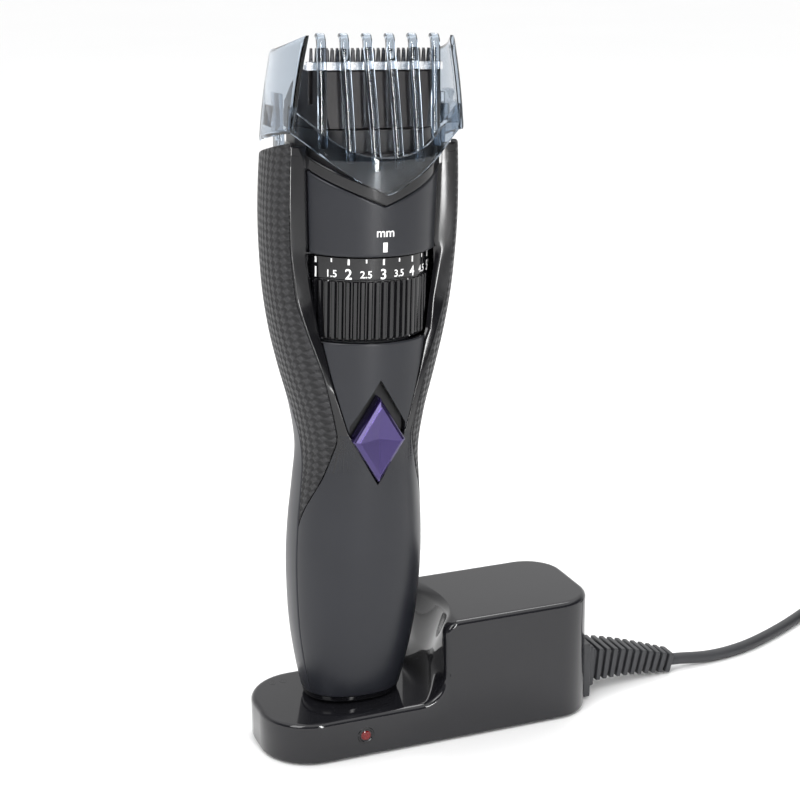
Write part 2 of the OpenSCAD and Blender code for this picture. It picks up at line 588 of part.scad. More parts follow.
module lever_seal() color([0.05, 0.05, 0.05]) on_seat() difference() {
    translate([0, 0, 150.2]) cylinder(r = 5.9, h = 2);
    translate([0, 0, 149]) cylinder(r = 2.6, h = 5);
    translate([0, 0, 149.6]) cylinder(r = 4.2, h = 1.6);
}
module seal_ring() color([0.05, 0.05, 0.05]) on_seat() translate([0, 0, chassis_top - 0.75])
    rotate_extrude() translate([chassis_r + 0.75, 0]) circle(r = 0.7);
module detent_spring() color([0.78, 0.78, 0.8]) on_seat() {
    block([-4, -13.75, 103], [4, -13.45, 112]);
    translate([0, -14.2, 103]) cylinder(r = 0.8, h = 9);
}
module head_plan(r, o) { intersection() { circle(r = r - o, $fn = 96); square([2 * (head_cut - o), 60],
    center = true); } }
module head_housing() color([0.06, 0.06, 0.065]) on_seat() {
    difference() {
        union() {
            translate([0, 0, head_z0]) linear_extrude(head_z1 - head_z0) head_plan(head_r, 0);
        }
        translate([0, 0, head_z0 - 1]) linear_extrude(chassis_top - head_z0 + 1) head_plan(head_r, 1.6);
        translate([0, 0, 130]) cylinder(r = 9.4, h = 20.4);
        block([-30, -3.4, head_z0 - 1], [30, 3.4, 137]);
        translate([0, 0, 140]) cylinder(r = 3.2, h = 30);
        translate([0, 0, 150.2]) cylinder(r = 6, h = 5);
        at_head_screws() cylinder(r = 1, h = 200);
        at_head_screws() translate([0, 0, head_z1 - 1.5]) cylinder(r = 1.75, h = 5);
        block([-30, -30, head_step_z], [30, -15.2, head_z1 + 1]);
    }
    for (s = [-1, 1]) {
        block([s * 16.4 - 0.9, hinge_y - hinge_r, head_z1 - 1.4],
            [s * 16.4 + 0.9, hinge_y + hinge_r, hinge_z]);
        translate([s * 16.4 - 0.9, hinge_y, hinge_z]) rotate([0, 90, 0]) cylinder(r = hinge_r, h = 1.8);
    }
}
module head_screws() color([0.7, 0.7, 0.72]) on_seat() at_head_screws() translate([0, 0, head_z1 - 1.45])
    screw(1.6, 1, 0.75, 14);
module blade_hinge_pin() color([0.8, 0.8, 0.82]) on_seat() translate([-15.45, hinge_y, hinge_z])
    rotate([0, 90, 0]) cylinder(r = 0.7, h = 30.9);

// ================= dial and comb =================
cam_z = 112;
cam_back = 4 * dial_step;
module dial() color([0.05, 0.05, 0.06]) on_seat() difference() {
    union() {
        translate([0, 0, dial_z1 - dial_band]) cylinder(r = dial_r, h = dial_band, $fn = 96);
        translate([0, 0, dial_z0]) cylinder(r = dial_r - 0.5, h = dial_z1 - dial_z0 - 1, $fn = 96);
        for (i = [0:59]) rotate([0, 0, 6 * i]) block([dial_r - 1.2, -0.55, dial_z0],
            [dial_r, 0.55, dial_z1 - dial_band + 0.1]);
    }
    translate([0, 0, dial_z0 - 1]) cylinder(r = dial_in, h = 30, $fn = 96);
    // helical cam track, in short level runs; the carriage's follower rides in it
    for (i = [-1:18]) rotate([0, 0, 90 - cam_back + dial_step * i])
        translate([dial_in - 1, -2.6, cam_z + 0.5 * (i - 4) - 1.9]) cube([1.9, 5.2, 3.8]);
}
arm_z = 125.4;
module comb_carriage() color([0.75, 0.75, 0.72]) on_seat() {
    translate([0, 0, arm_z]) difference() {
        tube(dial_in - 0.4, chassis_r + 0.4, 3);
        block([-30, -30, -1], [30, 0, 5]);
    }
    intersection() {
        translate([0, 0, 100]) tube(dial_in - 0.4, chassis_r + 0.4, 40);
        block([-3, 10, cam_z - 2.4], [3, 20, arm_z + 1]);
    }
    translate([0, 16.6, cam_z]) rotate([90, 0, 0]) cylinder(r = 1.2, h = 2);
    for (s = [-1, 1]) {
        block([s * 16.9 - 2.9, -3, arm_z], [s * 16.9 + 2.9, 3, arm_z + 3]);
        block([s * 19.3 - 0.7, -3, arm_z], [s * 19.3 + 0.7, 3, 148]);
    }
}
comb_tip_z = 175;
skirt_r = 21.4;
skirt_t = 1.1;
wing_t = 1.3;
function skirt_lo(u) = 137.6 + 14.2 * pow(abs(2 * u - 1), 1.25);
function skirt_hi(u) = 146.6 + 11.5 * pow(abs(2 * u - 1), 2.2);
skirt_half = 63;
function wing_x(z) = 24.7 - 0.6 * max(0, z - 148) / 10 - 2.1 * pow(max(0, z - 148) / 27, 2);
module comb_skirt() {
    nu = 18;
    nz = 4;
    n = (nu + 1) * (nz + 1);
    function pt(i, j, s) = let (u = i / nu, a = skirt_half * (2 * u - 1),
        z = skirt_lo(u) + (skirt_hi(u) - skirt_lo(u)) * j / nz,
        w = pow(abs(2 * u - 1), 3),
        r = skirt_r * (1 + 0.17 * w) - 0.27 * (1 - w) * max(0, z - 146) - (s ? skirt_t : 0))
        around(r, a, z);
    function k(i, j, s) = (s ? n : 0) + j * (nu + 1) + i;
    polyhedron(points = [for (s = [false, true]) for (j = [0:nz]) for (i = [0:nu]) pt(i, j, s)],
        faces = concat(
        [for (j = [0:nz - 1]) for (i = [0:nu - 1]) for (s = [false, true]) for (h = [0, 1])
            let (f = h == 0 ? [k(i, j, s), k(i, j + 1, s), k(i + 1, j + 1, s)] : [k(i, j, s),
                k(i + 1, j + 1, s), k(i + 1, j, s)])
            s ? [f[2], f[1], f[0]] : f],
        [for (j = [0:nz - 1]) for (i = [0, nu]) for (h = [0, 1])
            let (f = h == 0 ? [k(i, j, false), k(i, j, true), k(i, j + 1, true)] : [k(i, j, false),
                k(i, j + 1, true), k(i, j + 1, false)])
            i == 0 ? f : [f[2], f[1], f[0]]],
        [for (i = [0:nu - 1]) for (j = [0, nz]) for (h = [0, 1])
            let (f = h == 0 ? [k(i, j, false), k(i, j, true), k(i + 1, j, true)] : [k(i, j, false),
                k(i + 1, j, true), k(i + 1, j, false)])
            j == nz ? f : [f[2], f[1], f[0]]]));
}
// one tooth: leans back, and its tip hooks over the blade
module tine(x) {
    foot_y = -sqrt(pow(skirt_r - 0.3, 2) - x * x);
    foot_z = skirt_hi(0.5 + x / 44) - 3;
    translate([x - tine_t / 2, 0, 0]) rotate([90, 0, 90]) linear_extrude(tine_t) polygon([
        [foot_y, foot_z], [foot_y + 0.2, foot_z + 3], [-13.4, 172.6], [-12.7, 174.4], [-11.6, comb_tip_z],
        [-10.2, 174.7], [-10, 174], [-11.3, 173.6], [-11.6, 171.5], [foot_y + 2.2, foot_z + 4.5],
            [foot_y + 1.2, foot_z]]);
}
// side wing: a plate that follows the head's side and leans in towards its top
module wing() {
    ys = [7, 3.5, 0, -4, -8, -12.4];
    n = 6;
    lo = [for (i = [0:n - 1]) 147.6 + 4.4 * i / (n - 1)];
    hi = [for (i = [0:n - 1]) i < n - 1 ? 170 + 3.6 * pow(i / (n - 1), 1.4) : comb_tip_z - 0.4];
    nz = 5;
    function pt(i, j, s) = let (z = lo[i] + (hi[i] - lo[i]) * j / nz)
        [wing_x(z) - (s ? wing_t : 0) - 0.012 * pow(ys[i] - 1, 2), ys[i] - 1.2, z];
    m = n * (nz + 1);
    function k(i, j, s) = (s ? m : 0) + j * n + i;
    polyhedron(points = [for (s = [false, true]) for (j = [0:nz]) for (i = [0:n - 1]) pt(i, j, s)],
        faces = concat(
        [for (j = [0:nz - 1]) for (i = [0:n - 2]) for (s = [false, true]) for (h = [0, 1])
            let (f = h == 0 ? [k(i, j, s), k(i + 1, j + 1, s), k(i, j + 1, s)] : [k(i, j, s),
                k(i + 1, j, s), k(i + 1, j + 1, s)])
            s ? [f[2], f[1], f[0]] : f],
        [for (j = [0:nz - 1]) for (i = [0, n - 1]) for (h = [0, 1])
            let (f = h == 0 ? [k(i, j, false), k(i, j, true), k(i, j + 1, true)] : [k(i, j, false),
                k(i, j + 1, true), k(i, j + 1, false)])
            i == 0 ? [f[2], f[1], f[0]] : f],
        [for (i = [0:n - 2]) for (j = [0, nz]) for (h = [0, 1])
            let (f = h == 0 ? [k(i, j, false), k(i, j, true), k(i + 1, j, true)] : [k(i, j, false),
                k(i + 1, j, true), k(i + 1, j, false)])
            j == nz ? [f[2], f[1], f[0]] : f]));
}
module comb() color([0.45, 0.55, 0.66, 0.5]) on_seat() {
    comb_skirt();
    for (i = [-2.5:2.5]) tine(i * comb_pitch);
    for (s = [0, 1]) mirror([s, 0, 0]) {
        wing();
        block([20.3, -2.9, 131], [21.6, 2.9, 160]);
        block([21, -2.9, 152], [wing_x(156) - wing_t + 0.4, 2.9, 157]);
    }
}

// ================= blades =================
module blade_frame() color([0.11, 0.10, 0.10]) on_seat() {
    difference() {
        union() {
            translate([-18.1, 0, 0]) rotate([90, 0, 90]) linear_extrude(36.2)
                polygon([[-13.4, 152.7], [-10.9, 165.8],
                [-9.9, 166.2], [-6.5, 166.2], [0, 161], [4.3, 157.5], [4.3, 152.7]]);
            block([-15.2, 3.5, 152.7], [15.2, hinge_y, hinge_z + hinge_r]);
            translate([-15.2, hinge_y, hinge_z]) rotate([0, 90, 0]) cylinder(r = hinge_r - 0.2, h = 30.4);
        }
        difference() {
            block([-30, -30, 150], [30, 0, 170]);
            translate([0, 0, 149]) cylinder(r = 18.2, h = 22, $fn = 96);
        }
        block([-7, -8.6, 150], [7, 3, 161.6]);
        block([-17.4, -9.5, 158], [17.4, -8.2, 170]);
        translate([-20, hinge_y, hinge_z]) rotate([0, 90, 0]) cylinder(r = 0.76, h = 40);
    }
}
tooth_pitch = 1.3;
module blade_teeth(n, x0, z0, z1, y0, y1) {
    for (i = [0:n - 1]) translate([x0 + i * tooth_pitch, 0, 0]) rotate([90, 0, 0]) translate([0, 0, -y1])
        linear_extrude(y1 - y0) polygon([[-0.42, z0 - 0.3], [-0.22, z1], [0.22, z1], [0.42, z0 - 0.3]]);
}
module fixed_blade() color([0.85, 0.85, 0.87]) on_seat() {
    block([-17.4, -10.6, 166.25], [17.4, -9.85, 168.2]);
    blade_teeth(26, -12.5 * tooth_pitch, 168.1, 171.4, -10.6, -9.85);
    block([-17.4, -9.85 - eps, 166.25], [-15.4, -8.3, 167.4]);
    block([15.4, -9.85 - eps, 166.25], [17.4, -8.3, 167.4]);
}
module moving_blade() color([0.8, 0.8, 0.83]) on_seat() {
    block([-14.2, -9.4, 160.4], [14.2, -8.75, 168]);
    blade_teeth(21, -10 * tooth_pitch, 167.9, 170.9, -9.4, -8.75);
    block([-3.4, -9, 160.1], [3.4, 1.2, 161.2]);
    for (s = [-1, 1]) block([s * 2.4 - 0.9, -2.6, 155.4], [s * 2.4 + 0.9, 1.2, 160.3]);
}
module blade_spring() color([0.75, 0.75, 0.78]) on_seat() {
    for (s = [-1, 1]) block([s * 10 - 1.2, -8.4, 162.2], [s * 10 + 1.2, -8.25, 166.1]);
}

stand_shell();
base_plate();
stand_feet();
base_screws();
transformer_core();
transformer_bobbin();
transformer_winding();
charge_board();
board_parts();
charge_led();
contact_spring_left();
contact_spring_right();
contact_pin_left();
contact_pin_right();
strain_relief();
cord_lead();
cord_coil();
cord_tail();
cord_tie();
plug_body();
plug_pins();
front_shell();
rear_shell();
grip_left();
grip_right();
upper_panel();
lower_panel();
trim_frame();
bottom_cap();
charge_terminals();
battery_cell();
battery_tabs();
main_board();
slide_switch();
button_seal();
power_button();
chassis();
motor_can();
motor_screws();
motor_rotor();
eccentric();
drive_lever();
lever_pin();
lever_seal();
seal_ring();
detent_spring();
head_housing();
head_screws();
blade_hinge_pin();
dial();
comb_carriage();
comb();
blade_frame();
blade_spring();
fixed_blade();
moving_blade();
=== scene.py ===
"""Looks for the beard trimmer in its charging stand.

Metres; -Y is the trimmer's front, +X runs to the transformer block.
"""
import math

import bmesh
import bpy
import numpy as np
from mathutils import Matrix, Vector


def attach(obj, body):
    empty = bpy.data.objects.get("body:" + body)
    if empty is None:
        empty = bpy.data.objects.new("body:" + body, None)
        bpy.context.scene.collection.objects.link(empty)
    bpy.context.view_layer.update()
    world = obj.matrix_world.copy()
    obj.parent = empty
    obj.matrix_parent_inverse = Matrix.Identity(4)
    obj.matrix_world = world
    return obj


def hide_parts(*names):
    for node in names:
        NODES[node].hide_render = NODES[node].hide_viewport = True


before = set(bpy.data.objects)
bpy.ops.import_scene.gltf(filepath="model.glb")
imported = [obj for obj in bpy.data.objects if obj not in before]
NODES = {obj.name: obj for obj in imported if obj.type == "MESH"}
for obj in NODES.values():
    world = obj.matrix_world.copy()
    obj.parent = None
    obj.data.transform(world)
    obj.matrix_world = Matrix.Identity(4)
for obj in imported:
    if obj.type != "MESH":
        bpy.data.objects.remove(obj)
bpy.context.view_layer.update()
MM = 0.001
scene = bpy.context.scene

# ------------------------------------------------------------------ camera
AZIMUTH, PITCH, ROLL = math.radians(20.974), math.radians(16.658), math.radians(-0.546)
EYE = Vector((-159.29, -403.56, 221.52)) * MM


def make_camera():
    away = Vector((-math.sin(AZIMUTH) * math.cos(PITCH), -math.cos(AZIMUTH) * math.cos(PITCH),
                  math.sin(PITCH)))
    right = Vector((math.cos(AZIMUTH), -math.sin(AZIMUTH), 0))
    up = away.cross(right)
    r = right * math.cos(ROLL) + up * math.sin(ROLL)
    u = up * math.cos(ROLL) - right * math.sin(ROLL)
    cam = bpy.data.objects.new("camera", bpy.data.cameras.new("camera"))
    scene.collection.objects.link(cam)
    m = Matrix((r, u, away)).transposed().to_4x4()
    m.translation = EYE
    cam.matrix_world = m
    cam.data.lens = 77.55
    cam.data.sensor_width = 36
    cam.data.clip_start = 0.01
    scene.camera = cam


make_camera()


# ------------------------------------------------------------------ materials
class Graph:
    """A node tree with short names for what the materials below need."""

    def __init__(self, name):
        self.mat = bpy.data.materials.new(name)
        self.mat.use_nodes = True
        self.t = self.mat.node_tree
        self.bsdf = self.t.nodes["Principled BSDF"]
        self.coord = self.t.nodes.new("ShaderNodeTexCoord").outputs["Object"]

    def node(self, kind, inputs=None, **props):
        n = self.t.nodes.new(kind)
        for k, v in props.items():
            setattr(n, k, v)
        for k, v in (inputs or {}).items():
            if isinstance(v, bpy.types.NodeSocket):
                self.t.links.new(v, n.inputs[k])
            else:
                n.inputs[k].default_value = v
        return n

    def noise(self, scale, detail=3.0, rough=0.5, vector=None):
        return self.node("ShaderNodeTexNoise", {"Vector": vector or self.coord, "Scale": scale,
                         "Detail": detail, "Roughness": rough}).outputs["Fac"]

    def ramp(self, fac, stops):
        n = self.node("ShaderNodeValToRGB", {"Fac": fac})
        els = n.color_ramp.elements
        while len(els) < len(stops):
            els.new(0.5)
        for e, (p, c) in zip(els, stops):
            e.position = p
            e.color = (*c, 1.0) if isinstance(c, tuple) else (c, c, c, 1.0)
        return n.outputs["Color"]

    def math(self, op, a, b=0.0):
        n = self.node("ShaderNodeMath", operation=op)
        for i, v in enumerate((a, b)):
            if isinstance(v, bpy.types.NodeSocket):
                self.t.links.new(v, n.inputs[i])
            else:
                n.inputs[i].default_value = v
        return n.outputs[0]

    def bump(self, height, strength, distance, normal=None):
        ins = {"Height": height, "Strength": strength, "Distance": distance}
        if normal is not None:
            ins["Normal"] = normal
        return self.node("ShaderNodeBump", ins).outputs["Normal"]

    def set(self, **vals):
        for k, v in vals.items():
            key = {"color": "Base Color", "rough": "Roughness", "metal": "Metallic", "normal": "Normal",
                   "coat": "Coat Weight", "coat_rough": "Coat Roughness",
                   "transmission": "Transmission Weight", "ior": "IOR", "specular": "Specular IOR Level",
                   "alpha": "Alpha", "emit": "Emission Color", "emit_power": "Emission Strength"}[k]
            if isinstance(v, bpy.types.NodeSocket):
                self.t.links.new(v, self.bsdf.inputs[key])
            elif isinstance(v, tuple):
                self.bsdf.inputs[key].default_value = (*v, 1.0)
            else:
                self.bsdf.inputs[key].default_value = v
        return self.mat


def shades(color, spread):
    return [(0.3, tuple(c * (1 - spread) for c in color)), (0.7, tuple(c * (1 + spread) for c in color))]


def plastic(name, color, rough, grain=3500.0, bump=0.12, spread=0.08, coat=0.0, specular=0.5, wear=0.04):
    """Moulded plastic: slow colour drift, fine moulded grain and a little unevenness in its gloss."""
    g = Graph(name)
    drift = g.ramp(g.noise(60.0), shades(color, spread))
    gloss = g.ramp(g.noise(220.0, 4.0), [(0.3, rough - wear), (0.7, rough + wear)])
    normal = g.bump(g.noise(grain, 2.0), bump, 0.00006)
    return g.set(color=drift, rough=gloss, normal=normal, coat=coat, coat_rough=0.04, specular=specular)


def glossy(name, color, rough=0.06):
    """High-gloss plastic with faint ripples and hair-fine polishing marks in its gloss."""
    g = Graph(name)
    marks = g.noise(900.0, 6.0, 0.7)
    gloss = g.ramp(marks, [(0.35, rough), (0.8, rough + 0.07)])
    normal = g.bump(g.noise(28.0, 1.0), 0.05, 0.0004)
    return g.set(color=g.ramp(g.noise(40.0), shades(color, 0.1)), rough=gloss, normal=normal, ior=1.48)


def metal(name, color, rough, along=(1.0, 1.0, 18.0), scale=400.0, bump=0.15):
    """Ground or drawn metal: fine lines along one direction."""
    g = Graph(name)
    stretch = g.node("ShaderNodeMapping", {"Vector": g.coord, "Scale": along}).outputs["Vector"]
    lines = g.noise(scale, 4.0, 0.6, stretch)
    return g.set(color=g.ramp(lines, shades(color, 0.09)), metal=1.0,
                 rough=g.ramp(lines, [(0.3, rough - 0.06), (0.7, rough + 0.08)]),
                 normal=g.bump(lines, bump, 0.00004))


def rubber_grip(name):
    """Side grip: rows of small lens-shaped dimples, each row shifted by half, in matte rubber."""
    g = Graph(name)
    xyz = g.node("ShaderNodeSeparateXYZ", {"Vector": g.coord}).outputs
    w = g.math("ADD", xyz["Y"], g.math("MULTIPLY", xyz["X"], 0.35))
    pitch = 2 * math.pi / 0.0038
    a = g.math("MULTIPLY", g.math("ADD", xyz["Z"], w), pitch)
    b = g.math("MULTIPLY", g.math("SUBTRACT", xyz["Z"], w), pitch)
    weave = g.math("MULTIPLY", g.math("SINE", a), g.math("SINE", b))
    cells = g.ramp(g.math("ADD", g.math("MULTIPLY", weave, 0.5), 0.5), [(0.25, 0.0), (0.75, 1.0)])
    fine = g.bump(g.noise(5200.0, 2.0), 0.12, 0.00005)
    # the sunk cells of the pattern are painted darker than the raised ones: painted shade
    return g.set(color=g.ramp(cells, [(0.0, (0.006, 0.006, 0.007)), (1.0, (0.017, 0.017, 0.019))]),
                 specular=0.4, rough=g.ramp(cells, [(0.0, 0.62), (1.0, 0.40)]), normal=g.bump(cells, 0.85,
                 0.0006, fine))


def smoked_clear(name):
    """The guide comb's clear smoked plastic."""
    g = Graph(name)
    tint = g.ramp(g.noise(50.0), [(0.3, (0.36, 0.42, 0.49)), (0.7, (0.43, 0.49, 0.56))])
    normal = g.bump(g.noise(90.0, 1.0), 0.12, 0.0005)
    return g.set(color=tint, transmission=1.0, ior=1.5, rough=g.ramp(g.noise(400.0),
                 [(0.3, 0.02), (0.7, 0.05)]), normal=normal)


def wound(name, color, pitch):
    """Fine wire wound in layers."""
    g = Graph(name)
    z = g.node("ShaderNodeSeparateXYZ", {"Vector": g.coord}).outputs["Z"]
    wire = g.math("SINE", g.math("MULTIPLY", z, 2 * math.pi / pitch))
    fac = g.math("ADD", g.math("MULTIPLY", wire, 0.5), 0.5)
    return g.set(color=g.ramp(fac, shades(color, 0.25)), metal=0.9, rough=0.32, normal=g.bump(fac, 0.5,
                 0.0001))


def layered(name, color, pitch, axis):
    """A stack of thin steel plates."""
    g = Graph(name)
    v = g.node("ShaderNodeSeparateXYZ", {"Vector": g.coord}).outputs[axis]
    saw = g.math("FRACT", g.math("DIVIDE", v, pitch))
    return g.set(color=g.ramp(saw, [(0.05, tuple(c * 0.35 for c in color)), (0.2, color)]), metal=0.8,
                 rough=0.45, normal=g.bump(g.ramp(saw, [(0.0, 0.0), (0.15, 1.0)]), 0.5, 0.0001))


def facets_violet(name):
    """Metallic violet lacquer under clear gloss."""
    g = Graph(name)
    flake = g.noise(9000.0, 2.0)
    color = g.ramp(flake, [(0.3, (0.033, 0.020, 0.098)), (0.75, (0.062, 0.042, 0.165))])
    return g.set(color=color, metal=0.85, rough=0.2, coat=0.6, coat_rough=0.03,
                 normal=g.bump(flake, 0.03, 0.00003))


def circuit(name):
    """Solder mask with faint copper tracks."""
    g = Graph(name)
    brick = g.node("ShaderNodeTexVoronoi", {"Vector": g.coord, "Scale": 420.0}, distance="CHEBYCHEV")
    tracks = g.ramp(brick.outputs["Distance"], [(0.42, (0.020, 0.115, 0.045)), (0.5, (0.045, 0.21, 0.085))])
    return g.set(color=tracks, rough=0.32, normal=g.bump(brick.outputs["Distance"], 0.2, 0.00006), coat=0.3)


BODY = plastic("body_charcoal", (0.012, 0.013, 0.017), 0.34, grain=4200, bump=0.04, specular=0.38, wear=0.01)
REAR = plastic("rear_charcoal", (0.016, 0.017, 0.022), 0.34, grain=4200, bump=0.04, specular=0.38, wear=0.01)
GRIP = rubber_grip("grip_rubber")
TRIM = glossy("trim_black", (0.004, 0.004, 0.005), 0.09)
STAND = glossy("stand_black", (0.010, 0.010, 0.012), 0.05)
BASE = plastic("base_black", (0.020, 0.020, 0.022), 0.55, grain=2500, bump=0.3)
CORD = plastic("cord_black", (0.026, 0.027, 0.030), 0.5, grain=2600, bump=0.22)
RUBBER = plastic("seal_black", (0.012, 0.012, 0.013), 0.6, grain=3000, bump=0.2)
BLOCK = plastic("blade_black", (0.016, 0.014, 0.015), 0.36, grain=3600, bump=0.18)
HEAD = plastic("head_black", (0.014, 0.014, 0.015), 0.4, grain=3600, bump=0.15)
ACETAL = plastic("acetal_white", (0.66, 0.66, 0.62), 0.4, grain=1500, bump=0.08, spread=0.03)
FRAME_GREY = plastic("frame_grey", (0.22, 0.23, 0.25), 0.45, grain=2000, bump=0.15)
NYLON = plastic("bobbin_nylon", (0.62, 0.58, 0.48), 0.45, grain=1500, bump=0.1, spread=0.04)
DIAL = glossy("dial_black", (0.005, 0.005, 0.006), 0.1)
WHITE = plastic("numeral_white", (0.88, 0.88, 0.88), 0.45, grain=1500, bump=0.04, spread=0.02)
COMB = smoked_clear("comb_smoke")
VIOLET = facets_violet("button_violet")


def toothed_steel(name, teeth_z):
    """Ground blade steel: a bright spine, and teeth above teeth_z in the trimmer's frame painted darker, a
    painted reflection of dark surroundings.
    """
    g = Graph(name)
    xyz = g.node("ShaderNodeSeparateXYZ", {"Vector": g.coord}).outputs
    level = g.math("ADD", xyz["Z"], g.math("MULTIPLY", g.math("ADD", xyz["X"], 0.0199), 0.0349))
    step = g.math("MULTIPLY", g.math("SUBTRACT", level, 0.0128 + teeth_z * 0.001), 4000.0)
    lines = g.noise(900.0, 4.0, 0.6)
    # the dark end of this ramp is painted reflection on the teeth, not the steel's own colour
    return g.set(color=g.ramp(step, [(0.0, (0.70, 0.71, 0.73)), (1.0, (0.085, 0.085, 0.09))]), metal=1.0,
                 rough=g.ramp(lines, [(0.3, 0.2), (0.7, 0.32)]), normal=g.bump(lines, 0.2, 0.00005))


STEEL = toothed_steel("blade_steel", 168.1)
DARK_STEEL = toothed_steel("cutter_steel", 166.6)
ZINC = metal("screw_steel", (0.56, 0.57, 0.58), 0.34, along=(1.0, 1.0, 1.0))
NICKEL = metal("pin_nickel", (0.66, 0.65, 0.62), 0.16, along=(8.0, 1.0, 1.0))
GOLD = metal("gold_pin", (0.78, 0.57, 0.22), 0.22)
BATTERY = plastic("battery_wrap", (0.05, 0.22, 0.10), 0.28, grain=900, bump=0.06, coat=0.4)
BOARD = circuit("circuit_board")
WIRE = wound("copper", (0.56, 0.25, 0.11), 0.0005)
LAMINATION = layered("core_steel", (0.30, 0.30, 0.31), 0.0005, "Y")
ROTOR = layered("rotor_steel", (0.34, 0.33, 0.31), 0.0006, "Z")


def led_lens():
    g = Graph("led_red")
    return g.set(color=g.ramp(g.noise(900.0), [(0.3, (0.11, 0.002, 0.003)), (0.7, (0.19, 0.005, 0.006))]),
                 transmission=0.25, rough=0.08, emit=(0.5, 0.02, 0.01), emit_power=0.03)


LED = led_lens()
CAD_LOOKS = {"stand_shell": STAND, "base_plate": BASE, "stand_feet": RUBBER, "base_screws": ZINC,
             "transformer_core": LAMINATION, "transformer_bobbin": NYLON, "transformer_winding": WIRE,
             "charge_board": BOARD, "board_parts": BASE, "charge_led": LED, "contact_spring_left": ZINC,
             "contact_spring_right": ZINC, "contact_pin_left": GOLD, "contact_pin_right": GOLD,
             "strain_relief": CORD, "cord_lead": CORD, "cord_coil": CORD, "cord_tail": CORD,
             "cord_tie": RUBBER, "plug_body": CORD, "plug_pins": NICKEL, "front_shell": BODY,
             "rear_shell": REAR, "grip_left": GRIP, "grip_right": GRIP, "upper_panel": BODY,
             "lower_panel": BODY, "trim_frame": TRIM, "bottom_cap": TRIM, "charge_terminals": NICKEL,
             "battery_cell": BATTERY, "battery_tabs": NICKEL, "main_board": BOARD, "slide_switch": ZINC,
             "button_seal": RUBBER, "power_button": VIOLET, "chassis": FRAME_GREY, "motor_can": ZINC,
             "motor_screws": ZINC, "motor_rotor": ROTOR, "eccentric": ACETAL, "drive_lever": ACETAL,
             "lever_pin": ZINC, "lever_seal": RUBBER, "seal_ring": RUBBER, "detent_spring": ZINC,
             "head_housing": HEAD, "head_screws": ZINC, "blade_hinge_pin": ZINC, "dial": DIAL,
             "comb_carriage": ACETAL, "comb": COMB, "blade_frame": BLOCK, "blade_spring": ZINC,
             "fixed_blade": STEEL, "moving_blade": DARK_STEEL}
for node_name, look in CAD_LOOKS.items():
    part = NODES[node_name]
    part.data.materials.clear()
    part.data.materials.append(look)


# ------------------------------------------------------------------ mesh helpers
LEAN = math.radians(2.0)
SEAT = Vector((-19.9, 0, 12.8)) * MM
ON_SEAT = Matrix.Translation(SEAT) @ Matrix.Rotation(LEAN, 4, "Y")


def piece(name, verts, faces, look, body, replaces=(), local=True, smooth=40.0):
    """One mesh piece from millimetre points, in the trimmer's own frame if local."""
    v = np.asarray(verts, dtype=float) * MM
    if local:
        m = np.array(ON_SEAT)
        v = v @ m[:3, :3].T + m[:3, 3]
    mesh = bpy.data.meshes.new(name)
    mesh.from_pydata(v.tolist(), [], [list(f) for f in faces])
    return finish_mesh(name, mesh, look, body, replaces, smooth)


def finish_mesh(name, mesh, look, body, replaces=(), smooth=40.0):
    b = bmesh.new()
    b.from_mesh(mesh)
    bmesh.ops.remove_doubles(b, verts=b.verts, dist=2e-7)
    bmesh.ops.dissolve_degenerate(b, dist=1e-7, edges=b.edges)
    bmesh.ops.recalc_face_normals(b, faces=b.faces)
    for f in b.faces:
        f.smooth = True
    limit = math.radians(smooth)
    for e in b.edges:
        e.smooth = len(e.link_faces) == 2 and e.calc_face_angle(0) < limit
    b.to_mesh(mesh)
    b.free()
    mesh.validate()
    obj = bpy.data.objects.new(name, mesh)
    scene.collection.objects.link(obj)
    mesh.materials.append(look)
    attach(obj, body)
    if replaces:
        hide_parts(*replaces)
    return obj


class Solid:
    """Gathers points and faces of several closed forms into one mesh."""

    def __init__(self):
        self.v, self.f = [], []

    def add(self, verts, faces):
        k = len(self.v)
        self.v += [tuple(p) for p in verts]
        self.f += [[i + k for i in f] for f in faces]

    def grid(self, g, closed_u=False, cap=False):
        """g[j][i]: rows of points; closed_u joins each row end to start."""
        rows, cols = len(g), len(g[0])
        k = len(self.v)
        for row in g:
            self.v += [tuple(p) for p in row]
        span = cols if closed_u else cols - 1
        for j in range(rows - 1):
            for i in range(span):
                i2 = (i + 1) % cols
                self.f.append([k + j * cols + i, k + j * cols + i2, k + (j + 1) * cols + i2,
                              k + (j + 1) * cols + i])
        if cap:
            self.f.append([k + i for i in range(cols)][::-1])
            self.f.append([k + (rows - 1) * cols + i for i in range(cols)])


def rounded_block(s, lo, hi, r, at=None):
    """A box with bevelled edges, added to Solid s."""
    b = bmesh.new()
    bmesh.ops.create_cube(b, size=1.0)
    size = [hi[i] - lo[i] for i in range(3)]
    for v in b.verts:
        for i in range(3):
            v.co[i] = lo[i] + (v.co[i] + 0.5) * size[i]
    bmesh.ops.bevel(b, geom=list(b.edges), offset=r, segments=3, profile=0.5, affect="EDGES")
    if at is not None:
        bmesh.ops.transform(b, matrix=at, verts=b.verts)
    b.verts.index_update()
    s.add([v.co[:] for v in b.verts], [[v.index for v in f.verts] for f in b.faces])
    b.free()


def rounded_prism(s, outline, place, t, r, segments=2):
    """A flat closed outline made t thick with rounded edges; place(x, y, w) gives each point."""
    b = bmesh.new()
    low = [b.verts.new((x, y, 0.0)) for x, y in outline]
    face = b.faces.new(low)
    out = bmesh.ops.extrude_face_region(b, geom=[face])
    for g in out["geom"]:
        if isinstance(g, bmesh.types.BMVert):
            g.co.z = t
    bmesh.ops.recalc_face_normals(b, faces=b.faces)
    sharp = [e for e in b.edges if e.calc_face_angle(0) > 0.5]
    bmesh.ops.bevel(b, geom=sharp, offset=r, segments=segments, profile=0.5, affect="EDGES")
    b.verts.index_update()
    s.add([place(*v.co) for v in b.verts], [[v.index for v in f.verts] for f in b.faces])
    b.free()


